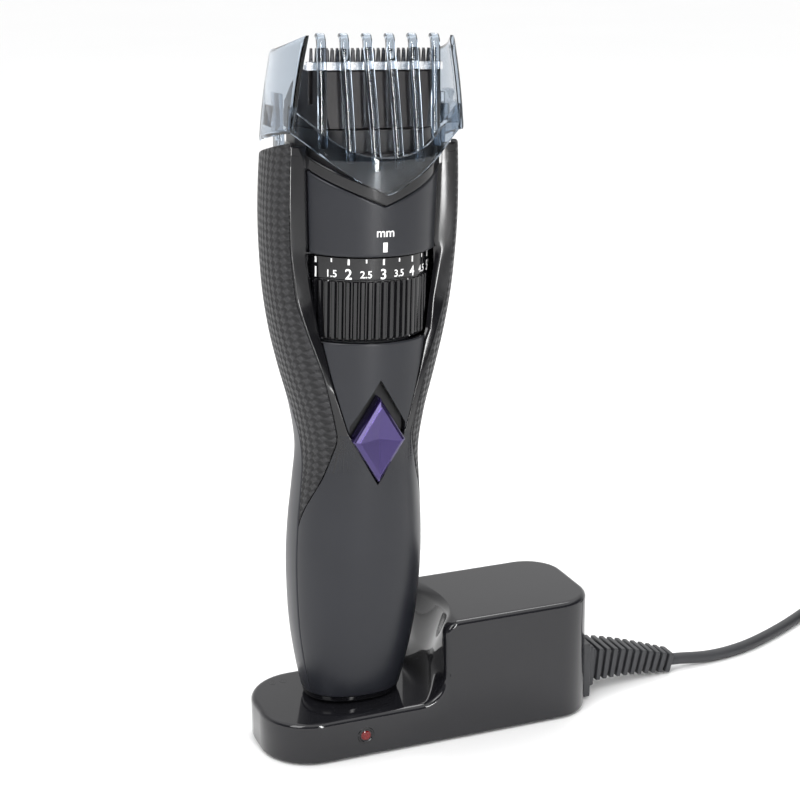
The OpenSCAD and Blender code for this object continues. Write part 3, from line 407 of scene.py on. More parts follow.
def cut(obj, cutter_verts, cutter_faces):
    """Cuts a closed form out of a piece, both in millimetres in the trimmer's frame."""
    m = np.array(ON_SEAT)
    v = np.asarray(cutter_verts, dtype=float) * MM @ m[:3, :3].T + m[:3, 3]
    mesh = bpy.data.meshes.new("cutter")
    mesh.from_pydata(v.tolist(), [], cutter_faces)
    b = bmesh.new()
    b.from_mesh(mesh)
    bmesh.ops.recalc_face_normals(b, faces=b.faces)
    b.to_mesh(mesh)
    b.free()
    tool = bpy.data.objects.new("cutter", mesh)
    scene.collection.objects.link(tool)
    mod = obj.modifiers.new("cut", "BOOLEAN")
    mod.operation = "DIFFERENCE"
    mod.solver = "EXACT"
    mod.object = tool
    bpy.context.view_layer.update()
    done = bpy.data.meshes.new_from_object(obj.evaluated_get(bpy.context.evaluated_depsgraph_get()))
    obj.modifiers.clear()
    obj.data = done
    bpy.data.objects.remove(tool)
    b = bmesh.new()
    b.from_mesh(done)
    for e in b.edges:
        e.smooth = len(e.link_faces) == 2 and e.calc_face_angle(0) < math.radians(30)
    b.to_mesh(done)
    b.free()


# ------------------------------------------------------------------ the trimmer's outer form
HALF_W = [13.0, 15.2, 16.8, 17.6, 17.9, 17.5, 16.6, 15.9, 17.3, 19.9, 22.3, 24.0, 24.9, 25.3, 25.1, 24.5,
          23.7]
FRONT_D = [9.4, 11.9, 14.2, 15.8, 16.8, 17.4, 17.9, 18.2, 18.5, 18.7, 18.9, 19.2, 19.6, 19.8, 20.0, 20.2,
           20.2]
BACK_D = [12.5, 13.3, 13.8, 13.9, 13.5, 12.7, 11.6, 11.2, 13.4, 17.2, 19.9, 20.3, 20.6, 20.7, 20.7, 20.3,
          19.5]
PANEL_EDGE = [(60, 0), (64, 0), (77, 24.5), (91, 38.5), (101, 47), (112, 53.5), (122, 57.5), (150, 59.5)]
GRIP_FRONT = [(50, 73), (54.5, 67), (64, 47.5), (75, 33), (80, 35.5), (91, 42.5), (101, 52), (110, 59.8),
              (123, 62.5), (160, 64)]
GRIP_BACK = [(0, 73), (65, 73), (75, 80), (85, 95), (95, 108), (105, 112), (160, 112)]
EDGE_GAP = 0.25
SPLIT_Z = 77.0
OVAL_POWER = 2.2
BLEND_FULL = 16.0


def smooth_table(v, z):
    last = len(v) - 1
    i = int(min(max(math.floor(z / 10.0), 0), last - 1))
    t = z / 10.0 - i
    b, c = v[i], v[i + 1]
    a = v[i - 1] if i > 0 else 2 * b - c
    d = v[i + 2] if i < last - 1 else 2 * c - b
    return 0.5 * (2 * b + (c - a) * t + (2 * a - 5 * b + 4 * c - d) * t * t
                  + (3 * b - a - 3 * c + d) * t ** 3)


def soft_lookup(table, z, blur=1.6):
    xs, ys = zip(*table)
    return float(np.mean([np.interp(z + k * blur, xs, ys) for k in (-1, -0.5, 0, 0.5, 1)]))


def oval_r(a, z):
    s, c = math.sin(math.radians(a)), math.cos(math.radians(a))
    w = abs(s) / smooth_table(HALF_W, z)
    d = abs(c) / smooth_table(FRONT_D if c > 0 else BACK_D, z)
    return (w ** OVAL_POWER + d ** OVAL_POWER) ** (-1 / OVAL_POWER)


def panel_r(a, z):
    return min(oval_r(a, z), smooth_table(FRONT_D, z))


def skin_r(a, z):
    q = abs(a)
    p, g = soft_lookup(PANEL_EDGE, z), soft_lookup(GRIP_FRONT, z)
    if q <= p:
        return panel_r(q, z)
    if p > 0 and q < g:
        at_p = panel_r(p, z)
        flat = at_p + (oval_r(g, z) - at_p) * (q - p) / (g - p)
        share = min(p / BLEND_FULL, 1.0)
        share = share * share * (3 - 2 * share)
        return flat * share + oval_r(q, z) * (1 - share)
    return oval_r(q, z)


def around(r, a, z):
    return (r * math.sin(math.radians(a)), -r * math.cos(math.radians(a)), z)


EDGE_ROUND = 0.35
MEAN_R = 20


def skin(s, lo, hi, bottom, top, nu, nz, t, proud=0.0):
    """A closed panel of the skin with rounded edges: close to part.scad's panels, with a softer blend."""

    def rim(u, v, width, height):
        d = min(u * width, (1 - u) * width, v * height, (1 - v) * height)
        return EDGE_ROUND - math.sqrt(max(0.0, EDGE_ROUND ** 2 - max(0.0, EDGE_ROUND - d) ** 2))

    def fine(n, size):
        e = EDGE_ROUND / size
        inner = [k / n for k in range(1, n)]
        start = [0.0, 0.15 * e, 0.5 * e, e]
        return start + [x for x in inner if e < x < 1 - e] + [1 - x for x in reversed(start)]

    width = max(math.radians(hi(100.0) - lo(100.0)) * MEAN_R, 2.0)
    height = abs(top(0.5) - bottom(0.5))
    us, vs = fine(nu, width), fine(nz, height)
    outer, inner = [], []
    for v in vs:
        ro, ri = [], []
        for u in us:
            z = bottom(u) + (top(u) - bottom(u)) * v
            a = lo(z) + (hi(z) - lo(z)) * u
            r = skin_r(a if a <= 180 else a - 360, z) + proud
            real_w = max(math.radians(hi(z) - lo(z)) * r, 0.2)
            ro.append(around(r - min(rim(u, v, real_w, height), t * 0.8), a, z))
            ri.append(around(r - t, a, z))
        outer.append(ro)
        inner.append(ri)
    rows, cols = len(vs), len(us)
    k = len(s.v)
    for row in outer + inner:
        s.v += row
    n = rows * cols

    def q(a, b, c, d):
        s.f.append([k + a, k + b, k + c, k + d])

    for j in range(rows - 1):
        for i in range(cols - 1):
            p = j * cols + i
            q(p, p + 1, p + cols + 1, p + cols)
            q(n + p, n + p + cols, n + p + cols + 1, n + p + 1)
    for j in range(rows - 1):
        p = j * cols
        q(p, p + cols, n + p + cols, n + p)
        p += cols - 1
        q(p, n + p, n + p + cols, p + cols)
    for i in range(cols - 1):
        q(i, n + i, n + i + 1, i + 1)
        p = (rows - 1) * cols + i
        q(p, p + 1, n + p + 1, n + p)


def grip_f(z):
    return soft_lookup(GRIP_FRONT, z)


def grip_b(z):
    return soft_lookup(GRIP_BACK, z)


def panel_e(z):
    return soft_lookup(PANEL_EDGE, z)


def shell_edge(z):
    return grip_b(z) if z < 50 else min(grip_f(z), grip_b(z))


def panel_top(u):
    return 134.5 + 8.0 * abs(2 * u - 1)


def band_low(u):
    return 134.75 + 8.72 * abs(2 * u - 1)


BUTTON_Z, BUTTON_Y, BUTTON_W, BUTTON_H = 75.4, -18.9, 7.0, 11.25
TRAVEL = 3.8


def button_hole(grow, y0, y1, up=TRAVEL):
    w, h = BUTTON_W + grow, BUTTON_H + grow * 1.6
    ring = [(0, -h), (w, 0), (w, up), (0, h + up), (-w, up), (-w, 0)]
    verts = [(x, y, BUTTON_Z + z) for y in (y0, y1) for x, z in ring]
    faces = [[0, 1, 2, 3, 4, 5], [11, 10, 9, 8, 7, 6]]
    faces = faces + [[i, (i + 1) % 6, 6 + (i + 1) % 6, 6 + i] for i in range(6)]
    return verts, faces


def trim_edge(z):
    """The trims' inner edge; beside the dial it eases outward and shows more of the drum."""
    t = min(max(0.0, (z - 99.0) / 3.0), max(0.0, (124.0 - z) / 2.0), 1.0)
    return panel_e(z) + min(1.3 * t, 0.5 * (grip_f(z) - panel_e(z)))


def build_shells():
    s = Solid()
    skin(s, lambda z: -shell_edge(z) + EDGE_GAP, lambda z: shell_edge(z) - EDGE_GAP,
         lambda u: 1.6, lambda u: SPLIT_Z - 0.02, 72, 110, 1.5)
    shell = piece("front_cover", s.v, s.f, BODY, "handset", ["front_shell"])
    cut(shell, *button_hole(0.45, -30, -5))
    s = Solid()
    skin(s, lambda z: grip_b(z) + EDGE_GAP, lambda z: 360 - grip_b(z) - EDGE_GAP,
         lambda u: 1.6, lambda u: 143.8, 96, 150, 1.5)
    piece("rear_cover", s.v, s.f, REAR, "handset", ["rear_shell"])
    for side, name in ((-1, "left"), (1, "right")):
        s = Solid()
        skin(s, lambda z: grip_f(z) + EDGE_GAP, lambda z: grip_b(z) - EDGE_GAP,
             lambda u: 51.0, lambda u: 149.2 - 5.0 * u, 40, 130, 1.5, 0.06)
        v = [(side * x, y, z) for x, y, z in s.v]
        piece("side_grip_" + name, v, s.f, GRIP, "handset", ["grip_" + name])
    s = Solid()
    skin(s, lambda z: -panel_e(z) + EDGE_GAP, lambda z: panel_e(z) - EDGE_GAP,
         lambda u: SPLIT_Z + 0.02, lambda u: 100.5, 60, 40, 1.3)
    lower = piece("face_lower", s.v, s.f, BODY, "handset", ["lower_panel"])
    cut(lower, *button_hole(0.45, -30, -5))
    s = Solid()
    skin(s, lambda z: -panel_e(z) + EDGE_GAP, lambda z: panel_e(z) - EDGE_GAP,
         lambda u: 122.3, panel_top, 60, 36, 1.3)
    piece("face_upper", s.v, s.f, BODY, "handset", ["upper_panel"])
    s = Solid()
    for side in (-1, 1):
        t = Solid()
        skin(t, trim_edge, grip_f, lambda u: 66.0, lambda u: 148.4, 10, 110, 0.9)
        s.add([(side * x, y, z) for x, y, z in t.v], t.f)
    skin(s, lambda z: -grip_f(z), grip_f, band_low, lambda u: band_low(u) + 3.2, 60, 6, 0.9, 0.02)
    piece("gloss_trim", s.v, s.f, TRIM, "handset", ["trim_frame"])
    # the end cap: a rounded rim under the shells and the socket for the stand's boss
    s = Solid()
    rim = [(-0.55, 0.0), (-0.2, 0.1), (-0.05, 0.3), (0.0, 0.6), (0.0, 1.4), (-0.1, 1.5), (-1.8, 1.5),
           (-1.8, 4.0)]
    angles = [360 * i / 144 for i in range(144)]
    rows = [[around(7.0, a, 3.45) for a in angles], [around(7.0, a, 0.0) for a in angles]]
    rows += [[around(oval_r(a if a <= 180 else a - 360, 0.0) + d, a, z) for a in angles] for d, z in rim]
    rows += [[around(7.8, a, 4.0) for a in angles], [around(7.8, a, 5.4) for a in angles]]
    s.grid(rows, closed_u=True, cap=True)
    piece("end_cap", s.v, s.f, TRIM, "handset", ["bottom_cap"])


def build_button():
    w, h = BUTTON_W, BUTTON_H
    depth = [(1.0, -15.2), (1.0, BUTTON_Y + 0.7), (0.95, BUTTON_Y - 0.1), (0.80, BUTTON_Y - 0.75)]
    verts, faces = [], []
    for k, y in depth:
        verts += [(x * w * k, y, BUTTON_Z + z * h * k) for x, z in ((0, -1), (1, 0), (0, 1), (-1, 0))]
    faces.append([3, 2, 1, 0])
    for r in range(len(depth) - 1):
        for i in range(4):
            j = (i + 1) % 4
            faces.append([4 * r + i, 4 * r + j, 4 * r + 4 + j, 4 * r + 4 + i])
    # the field sinks towards a cross ridge; the lower half folds about a ridge of its own
    n = len(verts)
    low, right, high, left = n - 4, n - 3, n - 2, n - 1
    verts.append((0, BUTTON_Y + 0.75, BUTTON_Z + 0.5))
    faces += [[left, n, high], [n, right, high], [low, n, left], [low, right, n]]
    b = bmesh.new()
    bv = [b.verts.new(v) for v in verts]
    for f in faces:
        b.faces.new([bv[i] for i in f])
    bmesh.ops.recalc_face_normals(b, faces=b.faces)
    bmesh.ops.bevel(b, geom=[e for e in b.edges if e.calc_face_angle(0) > 0.12], offset=0.14, segments=1,
                    affect="EDGES")
    b.verts.index_update()
    s = Solid()
    s.add([v.co[:] for v in b.verts], [[v.index for v in f.verts] for f in b.faces])
    b.free()
    ring = [(1.2 * math.cos(2 * math.pi * i / 24), 1.2 * math.sin(2 * math.pi * i / 24)) for i in range(24)]
    s.grid([[(x, y, BUTTON_Z - 1.5 + z) for x, z in ring] for y in (-15.5, -12.1)], closed_u=True, cap=True)
    piece("button_gem", s.v, s.f, VIOLET, "button", ["power_button"], smooth=3)
    # the black tray that the button slides in
    s = Solid()
    rows = []
    for grow, y in ((0.44, -14.9), (0.44, -18.0), (1.3, -18.05), (1.3, -14.9)):
        v, _ = button_hole(grow, y, y)
        ring = []
        for p, q in zip(v[:6], v[1:6] + v[:1]):
            for k in range(6):
                ring.append(tuple(p[i] + (q[i] - p[i]) * k / 6 for i in range(3)))
        # the front edge follows the skin
        if y < -15:
            ring = [(x, -math.sqrt(max(skin_r(math.degrees(math.asin(min(1, abs(x) / 18.3))),
                    z) ** 2 - x * x, 1)) + (0.5 if grow < 1 else 1.56), z) for x, _, z in ring]
        rows.append(ring)
    rows.append(rows[0])
    s.grid(rows, closed_u=True)
    piece("button_tray", s.v, s.f, TRIM, "handset")


# ------------------------------------------------------------------ dial, numerals and marks
DIAL_R, DIAL_Z0, DIAL_Z1, BAND_Z = 17.8, 100.9, 121.9, 115.9
SETTINGS, SETTING_STEP, REST_SETTING = 19, 14.0, 4
SCALE_TURN = 1.3  # the print is turned on the drum so that its first number clears the window
WINDOW_HALF = 58.6


def printed(s, text, size, a0, z0, radius, lift=0.05, bold=0.0):
    """Text wrapped round the axis: its middle at angle a0, its base at z0."""
    curve = bpy.data.curves.new("text", "FONT")
    curve.body = text
    curve.size = size
    curve.align_x = "CENTER"
    curve.extrude = 0.02
    curve.offset = bold
    curve.resolution_u = 4
    obj = bpy.data.objects.new("text", curve)
    scene.collection.objects.link(obj)
    bpy.context.view_layer.update()
    mesh = bpy.data.meshes.new_from_object(obj.evaluated_get(bpy.context.evaluated_depsgraph_get()))
    bpy.data.objects.remove(obj)
    b = bmesh.new()
    b.from_mesh(mesh)
    bmesh.ops.remove_doubles(b, verts=b.verts, dist=1e-5)
    b.verts.index_update()
    pts = []
    for v in b.verts:
        z = z0 + v.co.y
        a = a0 + math.degrees(v.co.x / radius(z))
        pts.append(around(radius(z) + lift + v.co.z, a, z))
    s.add(pts, [[v.index for v in f.verts] for f in b.faces])
    b.free()


def mark(s, a0, z0, z1, half, radius, lift=0.05):
    """A small printed bar."""
    grid = []
    for out in (-0.02, 0.03):
        grid.append([around(radius(z) + lift + out, a0 + math.degrees(x / radius(z)), z)
                     for x, z in ((-half, z0), (half, z0), (half, z1), (-half, z1))])
    s.grid(grid, closed_u=True, cap=True)


def build_dial():
    s = Solid()
    ribs, sub = 60, 10
    n = ribs * sub

    def rib(i, depth):
        x = abs((i / sub) % 1.0 - 0.5) * 2
        return DIAL_R - depth * min(1.0, max(0.0, (x - 0.42) / 0.4)) ** 0.8

    levels = [(DIAL_Z0, 0.0, 0.5), (DIAL_Z0 + 0.3, 0.75, 0.15), (DIAL_Z0 + 0.9, 0.8, 0.0),
              (BAND_Z - 0.9, 0.8, 0.0), (BAND_Z - 0.25, 0.5, 0.0), (BAND_Z, 0.0, 0.25),
              (BAND_Z + 0.01, 0.0, 0.35), (BAND_Z + 0.25, 0.0, 0.35), (BAND_Z + 0.5, 0.0, 0.0),
              (DIAL_Z1 - 0.3, 0.0, 0.0), (DIAL_Z1, 0.0, 0.3)]
    rows = [[around(rib(i, d) - drop, 360 * i / n, z) for i in range(n)] for z, d, drop in levels]
    for r, z in ((15.9, DIAL_Z1), (15.9, DIAL_Z0)):
        rows.append([around(r, 360 * i / n, z) for i in range(n)])
    rows.append(rows[0])
    s.grid(rows, closed_u=True)
    piece("dial_drum", s.v, s.f, DIAL, "dial", ["dial"], smooth=28)
    s = Solid()
    for i in range(SETTINGS):
        a = SETTING_STEP * (i - REST_SETTING) + SCALE_TURN
        value = 1 + 0.5 * i
        if i % 2 == 0:
            printed(s, "%d" % value, 3.6, a, 116.5, lambda z: DIAL_R, bold=0.05)
            mark(s, a, 120.0, 121.45, 0.26, lambda z: DIAL_R)
        else:
            printed(s, "%.1f" % value, 2.5, a, 116.85, lambda z: DIAL_R, bold=0.03)
            mark(s, a, 120.5, 121.45, 0.18, lambda z: DIAL_R)
    piece("dial_scale", s.v, s.f, WHITE, "dial", smooth=20)
    s = Solid()

    def face(z):
        return skin_r(0.0, z)

    mark(s, 0.0, 123.5, 125.9, 0.55, face, 0.03)
    printed(s, "mm", 3.1, 0.0, 127.3, face, 0.03, 0.03)
    piece("length_marker", s.v, s.f, WHITE, "handset", smooth=20)
    # a dark lip all round the dial's window
    s = Solid()
    rows = []
    sweep = [WINDOW_HALF * (k / 20 - 1) for k in range(41)]
    pts = [(a, DIAL_Z1 + 0.38) for a in sweep] + [(-a, DIAL_Z0 - 0.38) for a in sweep]
    for out, grow in ((-1.4, 0.0), (-0.35, 0.0), (-0.30, 0.35), (-1.4, 0.35)):
        rows.append([around(skin_r(a, z) + out, a * (1 + grow * 0.008), z + (grow if z > 110 else -grow))
                    for a, z in pts])
    rows.append(rows[0])
    s.grid(rows, closed_u=True)
    piece("dial_window", s.v, s.f, TRIM, "handset")


# ------------------------------------------------------------------ guide comb
COMB_PITCH, TINE_T, SKIRT_R, SKIRT_T, WING_T, TIP_Z = 5.8, 2.1, 21.4, 1.1, 1.3, 175.0
SKIRT_HALF = 63.0


def skirt_lo(u):
    return 137.6 + 14.2 * abs(2 * u - 1) ** 1.25


def skirt_hi(u):
    return 146.6 + 11.5 * abs(2 * u - 1) ** 2.2


def wing_x(z):
    return 24.7 - 0.6 * max(0, z - 148) / 10 - 2.1 * (max(0, z - 148) / 27) ** 2


def shell_grid(s, pt, nu, nz, t_edge=0.3):
    """Closes an outer and an inner grid pt(u, v, inner) into one form with softened edges."""
    def steps(n, e):
        return [0.0, 0.3 * e, e] + [k / n for k in range(1, n) if e < k / n < 1 - e] + [1 - e,
                1 - 0.3 * e, 1.0]
    us, vs = steps(nu, t_edge / 20), steps(nz, t_edge / 10)
    rows, cols = len(vs), len(us)
    k = len(s.v)
    for inner in (False, True):
        for v in vs:
            for u in us:
                edge = min(u, 1 - u) / (t_edge / 20), min(v, 1 - v) / (t_edge / 10)
                soft = 1 - min(1.0, min(edge))
                s.v.append(tuple(pt(u, v, (1 - 0.2 * soft) if inner else 0.2 * soft)))
    n = rows * cols
    for j in range(rows - 1):
        for i in range(cols - 1):
            p = k + j * cols + i
            s.f.append([p, p + 1, p + cols + 1, p + cols])
            s.f.append([n + p, n + p + cols, n + p + cols + 1, n + p + 1])
    for j in range(rows - 1):
        for i in (0, cols - 1):
            p = k + j * cols + i
            s.f.append([p, p + cols, n + p + cols, n + p])
    for i in range(cols - 1):
        for j in (0, rows - 1):
            p = k + j * cols + i
            s.f.append([p, p + 1, n + p + 1, n + p])


def build_comb():
    s = Solid()

    def skirt(u, v, depth):
        a = SKIRT_HALF * (2 * u - 1)
        z = skirt_lo(u) + (skirt_hi(u) - skirt_lo(u)) * v
        w = abs(2 * u - 1) ** 3
        r = SKIRT_R * (1 + 0.17 * w) - 0.27 * (1 - w) * max(0, z - 146) - SKIRT_T * depth
        return around(r, a, z)

    shell_grid(s, skirt, 60, 12)
    for k in range(6):
        x = (k - 2.5) * COMB_PITCH
        fy = -math.sqrt((SKIRT_R - 0.3) ** 2 - x * x)
        fz = skirt_hi(0.5 + x / 44) - 3
        outline = [(fy, fz), (fy + 0.2, fz + 3), (fy + 0.2 + (-13.6 - fy) * 0.4,
                   fz + 3 + (172.2 - fz - 3) * 0.45), (-13.5, 172.2), (-13.1, 173.6), (-12.4, 174.6),
                   (-11.6, TIP_Z), (-10.8, 174.95), (-10.2, 174.6), (-10.0, 174.1), (-11.1, 173.6),
                   (-11.5, 172.6), (-11.7, 171.2), (fy + 2.2 + (-13.9 - fy) * 0.42,
                   fz + 4.5 + (171 - fz - 4.5) * 0.45), (fy + 2.2, fz + 4.5), (fy + 1.2, fz)]
        rounded_prism(s, outline, lambda a, b, c, x=x: (x - TINE_T / 2 + c, a, b), TINE_T, 0.32)
    ys = [7, 3.5, 0, -4, -8, -12.4]
    for side in (-1, 1):
        def wing(u, v, depth):
            y = float(np.interp(u * 5, range(6), ys))
            lo = 147.6 + 4.4 * u
            hi = 170 + (TIP_Z - 0.4 - 170) * u ** 1.7
            z = lo + (hi - lo) * v
            return (side * (wing_x(z) - WING_T * depth - 0.012 * (y - 1) ** 2), y - 1.2, z)
        shell_grid(s, wing, 16, 18)
        rounded_block(s, [20.3 if side > 0 else -21.6, -2.9, 131], [21.6 if side > 0 else -20.3, 2.9,
                      160], 0.3)
        lo_x, hi_x = 21, wing_x(156) - WING_T + 0.4
        rounded_block(s, [lo_x if side > 0 else -hi_x, -2.9, 152], [hi_x if side > 0 else -lo_x, 2.9,
                      157], 0.2)
    piece("guide_comb", s.v, s.f, COMB, "comb", ["comb"], smooth=35)


# ------------------------------------------------------------------ charging stand
STAND_L, STAND_D, DISH_R, BLOCK_R = 93.0, 34.0, 14.0, 10.5
DISH_H, BLOCK_H, BLOCK_X, FOOT_H = 12.0, 34.5, 1.4, 0.6
FILLET_IN, FILLET_OUT, RIM = 7.5, 4.0, 1.3
SCOOP_R, SCOOP_FLARE = 21.8, 3.8


def scoop_radius(z):
    t = min(max((z - 20.0) / 14.5, 0.0), 1.0)
    return SCOOP_R + SCOOP_FLARE * (1 - math.cos(t * math.pi / 2)) + 0.9 * max(0.0, (z - 32.6) / 1.9) ** 2


def scoop_x(y, z):
    r = scoop_radius(z)
    if abs(y) >= r:
        return -1e3
    return -19.9 + math.tan(LEAN) * (z - 12.0) + math.sqrt(r * r - y * y)


def side_profile():
    """The stand's side outline from the dish end to the block end: (x, z, nx, nz)."""
    out = []
    for k in range(36):
        out.append((-STAND_L / 2 + (BLOCK_X - FILLET_IN + STAND_L / 2) * k / 36, DISH_H, 0.0, 1.0))
    for k in range(17):
        a = math.radians(-90 + 90 * k / 16)
        out.append((BLOCK_X - FILLET_IN + FILLET_IN * math.cos(a),
                   DISH_H + FILLET_IN + FILLET_IN * math.sin(a), -math.cos(a), -math.sin(a)))
    z0, z1 = DISH_H + FILLET_IN, BLOCK_H - FILLET_OUT
    for k in range(1, 14):
        out.append((BLOCK_X, z0 + (z1 - z0) * k / 14, -1.0, 0.0))
    for k in range(15):
        a = math.radians(180 - 90 * k / 14)
        out.append((BLOCK_X + FILLET_OUT + FILLET_OUT * math.cos(a), z1 + FILLET_OUT * math.sin(a),
                    math.cos(a), math.sin(a)))
    x0 = BLOCK_X + FILLET_OUT
    for k in range(1, 37):
        out.append((x0 + (STAND_L / 2 - x0) * k / 36, BLOCK_H, 0.0, 1.0))
    return out


def plan_half(x, inset):
    """Half depth of the plan at x, shrunk by inset."""
    half, end = STAND_D / 2 - inset, STAND_L / 2 - inset
    for r, sx in ((DISH_R - inset, -1), (BLOCK_R - inset, 1)):
        d = sx * x - (end - r)
        if d > 0:
            return half - r + math.sqrt(max(r * r - d * d, 0.0))
    return half


def build_stand():
    end = STAND_L / 2 - RIM
    m = 56
    rows = [(min(max(x, -end), end), z, nx, nz) for x, z, nx, nz in side_profile()]
    # the first and last rows crowd into the round corners
    low = [-end + DISH_R * (1 - math.cos(math.pi / 2 * k / 14)) for k in range(14)]
    high = [end - BLOCK_R * (1 - math.cos(math.pi / 2 * k / 12)) for k in range(12)][::-1]
    rows = ([(x, DISH_H, 0.0, 1.0) for x in low]
            + [r for r in rows if low[-1] < r[0] < high[0]] + [(x, BLOCK_H, 0.0, 1.0) for x in high])
    top = []
    for x, z, nx, nz in rows:
        w = plan_half(x, RIM)
        line = []
        for i in range(m + 1):
            y = -w * math.cos(math.pi * i / m) if w < 12 else w * (2 * i / m - 1)
            px, pz = x, z
            if z > DISH_H:
                sx = scoop_x(y, z)
                k = 0.5
                d = sx - px
                px = px + (d if d > 3 else (k * math.log1p(math.exp(d / k)) if d > -6 else 0.0))
            line.append((px, y, pz, nx, nz))
        top.append(line)
    s = Solid()
    s.grid([[p[:3] for p in line] for line in top])
    # walk round the top's border, then roll over the rim and down
    border = ([line[0] for line in top] + top[-1][1:-1]
              + [line[-1] for line in reversed(top)] + top[0][-2:0:-1])
    ring = []
    for px, py, pz, nx, nz in border:
        cx = min(max(px, -end + DISH_R - RIM), end - BLOCK_R + RIM)
        r_here = DISH_R if px < 0 else BLOCK_R
        if cx != px or abs(abs(px) - end) < 1e-6:
            half = STAND_D / 2 - r_here
            cy = min(max(py, -half), half)
            ox, oy = px - cx, py - cy
            if abs(abs(px) - end) < 1e-6 and abs(py) <= half:
                ox, oy = math.copysign(1.0, px), 0.0
            length = math.hypot(ox, oy) or 1.0
            ox, oy = ox / length, oy / length
        else:
            ox, oy = 0.0, math.copysign(1.0, py)
        ring.append((px, py, pz, nx, nz, ox, oy))
    bands = []
    for k in range(7):
        f = math.pi / 2 * k / 6
        a, b = RIM * math.sin(f), RIM * (1 - math.cos(f))
        bands.append([(px + a * ox - b * nx, py + a * oy, pz - b * nz)
                      for px, py, pz, nx, nz, ox, oy in ring])
    for z, inset in ((1.4, 0.0), (0.9, 0.15), (FOOT_H, 0.55)):
        bands.append([(p[0] - r[5] * inset, p[1] - r[6] * inset, z) for p, r in zip(bands[6], ring)])
    bands.append([(p[0] * 0.97, p[1] * 0.92, FOOT_H) for p in bands[-1]])
    s.grid([b + [b[0]] for b in bands])
    piece("stand_cover", s.v, s.f, STAND, "stand", ["stand_shell"], local=False, smooth=32)
    # charge light in its ring
    s = Solid()
    n = 40
    rows = []
    for r, y in ((1.62, -16.6), (1.62, -17.05), (1.8, -17.25), (2.2, -17.2), (2.4, -16.9)):
        rows.append([(-21.6 + r * math.cos(2 * math.pi * i / n), y,
                    6.5 + r * math.sin(2 * math.pi * i / n)) for i in range(n)])
    s.grid(rows, closed_u=True)
    piece("led_ring", s.v, s.f, TRIM, "stand", local=False)
    s = Solid()
    rows = []
    for k in range(9):
        f = math.pi / 2 * k / 8
        rows.append([(-21.6 + 1.55 * math.cos(f) * math.cos(2 * math.pi * i / n), -16.75 - 0.5 * math.sin(f),
                      6.5 + 1.55 * math.cos(f) * math.sin(2 * math.pi * i / n)) for i in range(n)])
    s.grid(rows, closed_u=True, cap=True)
    piece("led_lens", s.v, s.f, LED, "stand", local=False, replaces=["charge_led"])
    # two small oval wells in the dish behind the trimmer
    for side, name in ((-1, "a"), (1, "b")):
        s = Solid()
        rows = []
        for k, z in ((1.0, DISH_H + 0.03), (0.82, DISH_H + 0.02), (0.6, DISH_H - 0.25), (0.0, DISH_H - 0.3)):
            rows.append([(-37 + side * 1.5 + 0.75 * k * math.cos(2 * math.pi * i / n),
                          11.6 + 1.25 * k * math.sin(2 * math.pi * i / n), z) for i in range(n)])
        s.grid(rows, closed_u=True)
        piece("dish_well_" + name, s.v, s.f, RUBBER, "stand", local=False)


def build_relief():
    s = Solid()
    x0, length = STAND_L / 2, 32.5

    def mid(t):
        return 8.7 + (3.1 - 8.7) * t * t * (1.5 - 0.5 * t)

    rounded_block(s, [x0, -8.6, 0.7], [x0 + 2.4, 8.6, 17], 0.55)
    rounded_block(s, [x0 + 1.8, -6.9, 3], [x0 + 4.3, 6.9, 15.2], 0.55)

    def bar(t0, t1, grow, r):
        m = (t0 + t1) / 2
        hw, hh = 6 - 3.1 * m + grow, 5.4 - 2.6 * m + grow
        slope = math.atan2(-(mid(t1) - mid(t0)), length * (t1 - t0))
        at = Matrix.Translation((x0 + length * m, 0, max(mid(m), hh + 0.08))) @ Matrix.Rotation(slope, 4, "Y")
        half = length * (t1 - t0) / 2
        rounded_block(s, [-half, -hw, -hh], [half, hw, hh], r, at)

    for i in range(11):
        t = 0.12 + 0.074 * i
        bar(t, t + 0.044, 0, 0.3)
        bar(t + 0.03, t + 0.084, -1.15, 0.2)
    bar(0.12 + 0.074 * 11, 0.985, 0, 0.35)
    piece("flex_relief", s.v, s.f, CORD, "stand", ["strain_relief"], local=False)


# ------------------------------------------------------------------ mains cord
CORD_D = 3.4
COIL_X, COIL_Y, COIL_R, COIL_BASE = 168.0, 4.0, 20.4, 0.8


def ease(t):
    t = min(max(t, 0.0), 1.0)
    return t * t * (3 - 2 * t)


def catmull(points, steps):
    p = [2 * np.array(points[0]) - np.array(points[1])] + [np.array(q, float) for q in points]
    p.append(2 * p[-1] - p[-2])
    out = []
    for i in range(1, len(p) - 2):
        a, b, c, d = p[i - 1:i + 3]
        for k in range(steps):
            t = k / steps
            out.append(0.5 * (2 * b + (c - a) * t + (2 * a - 5 * b + 4 * c - d) * t * t
                              + (3 * b - a - 3 * c + d) * t ** 3))
    out.append(p[-2])
    return out


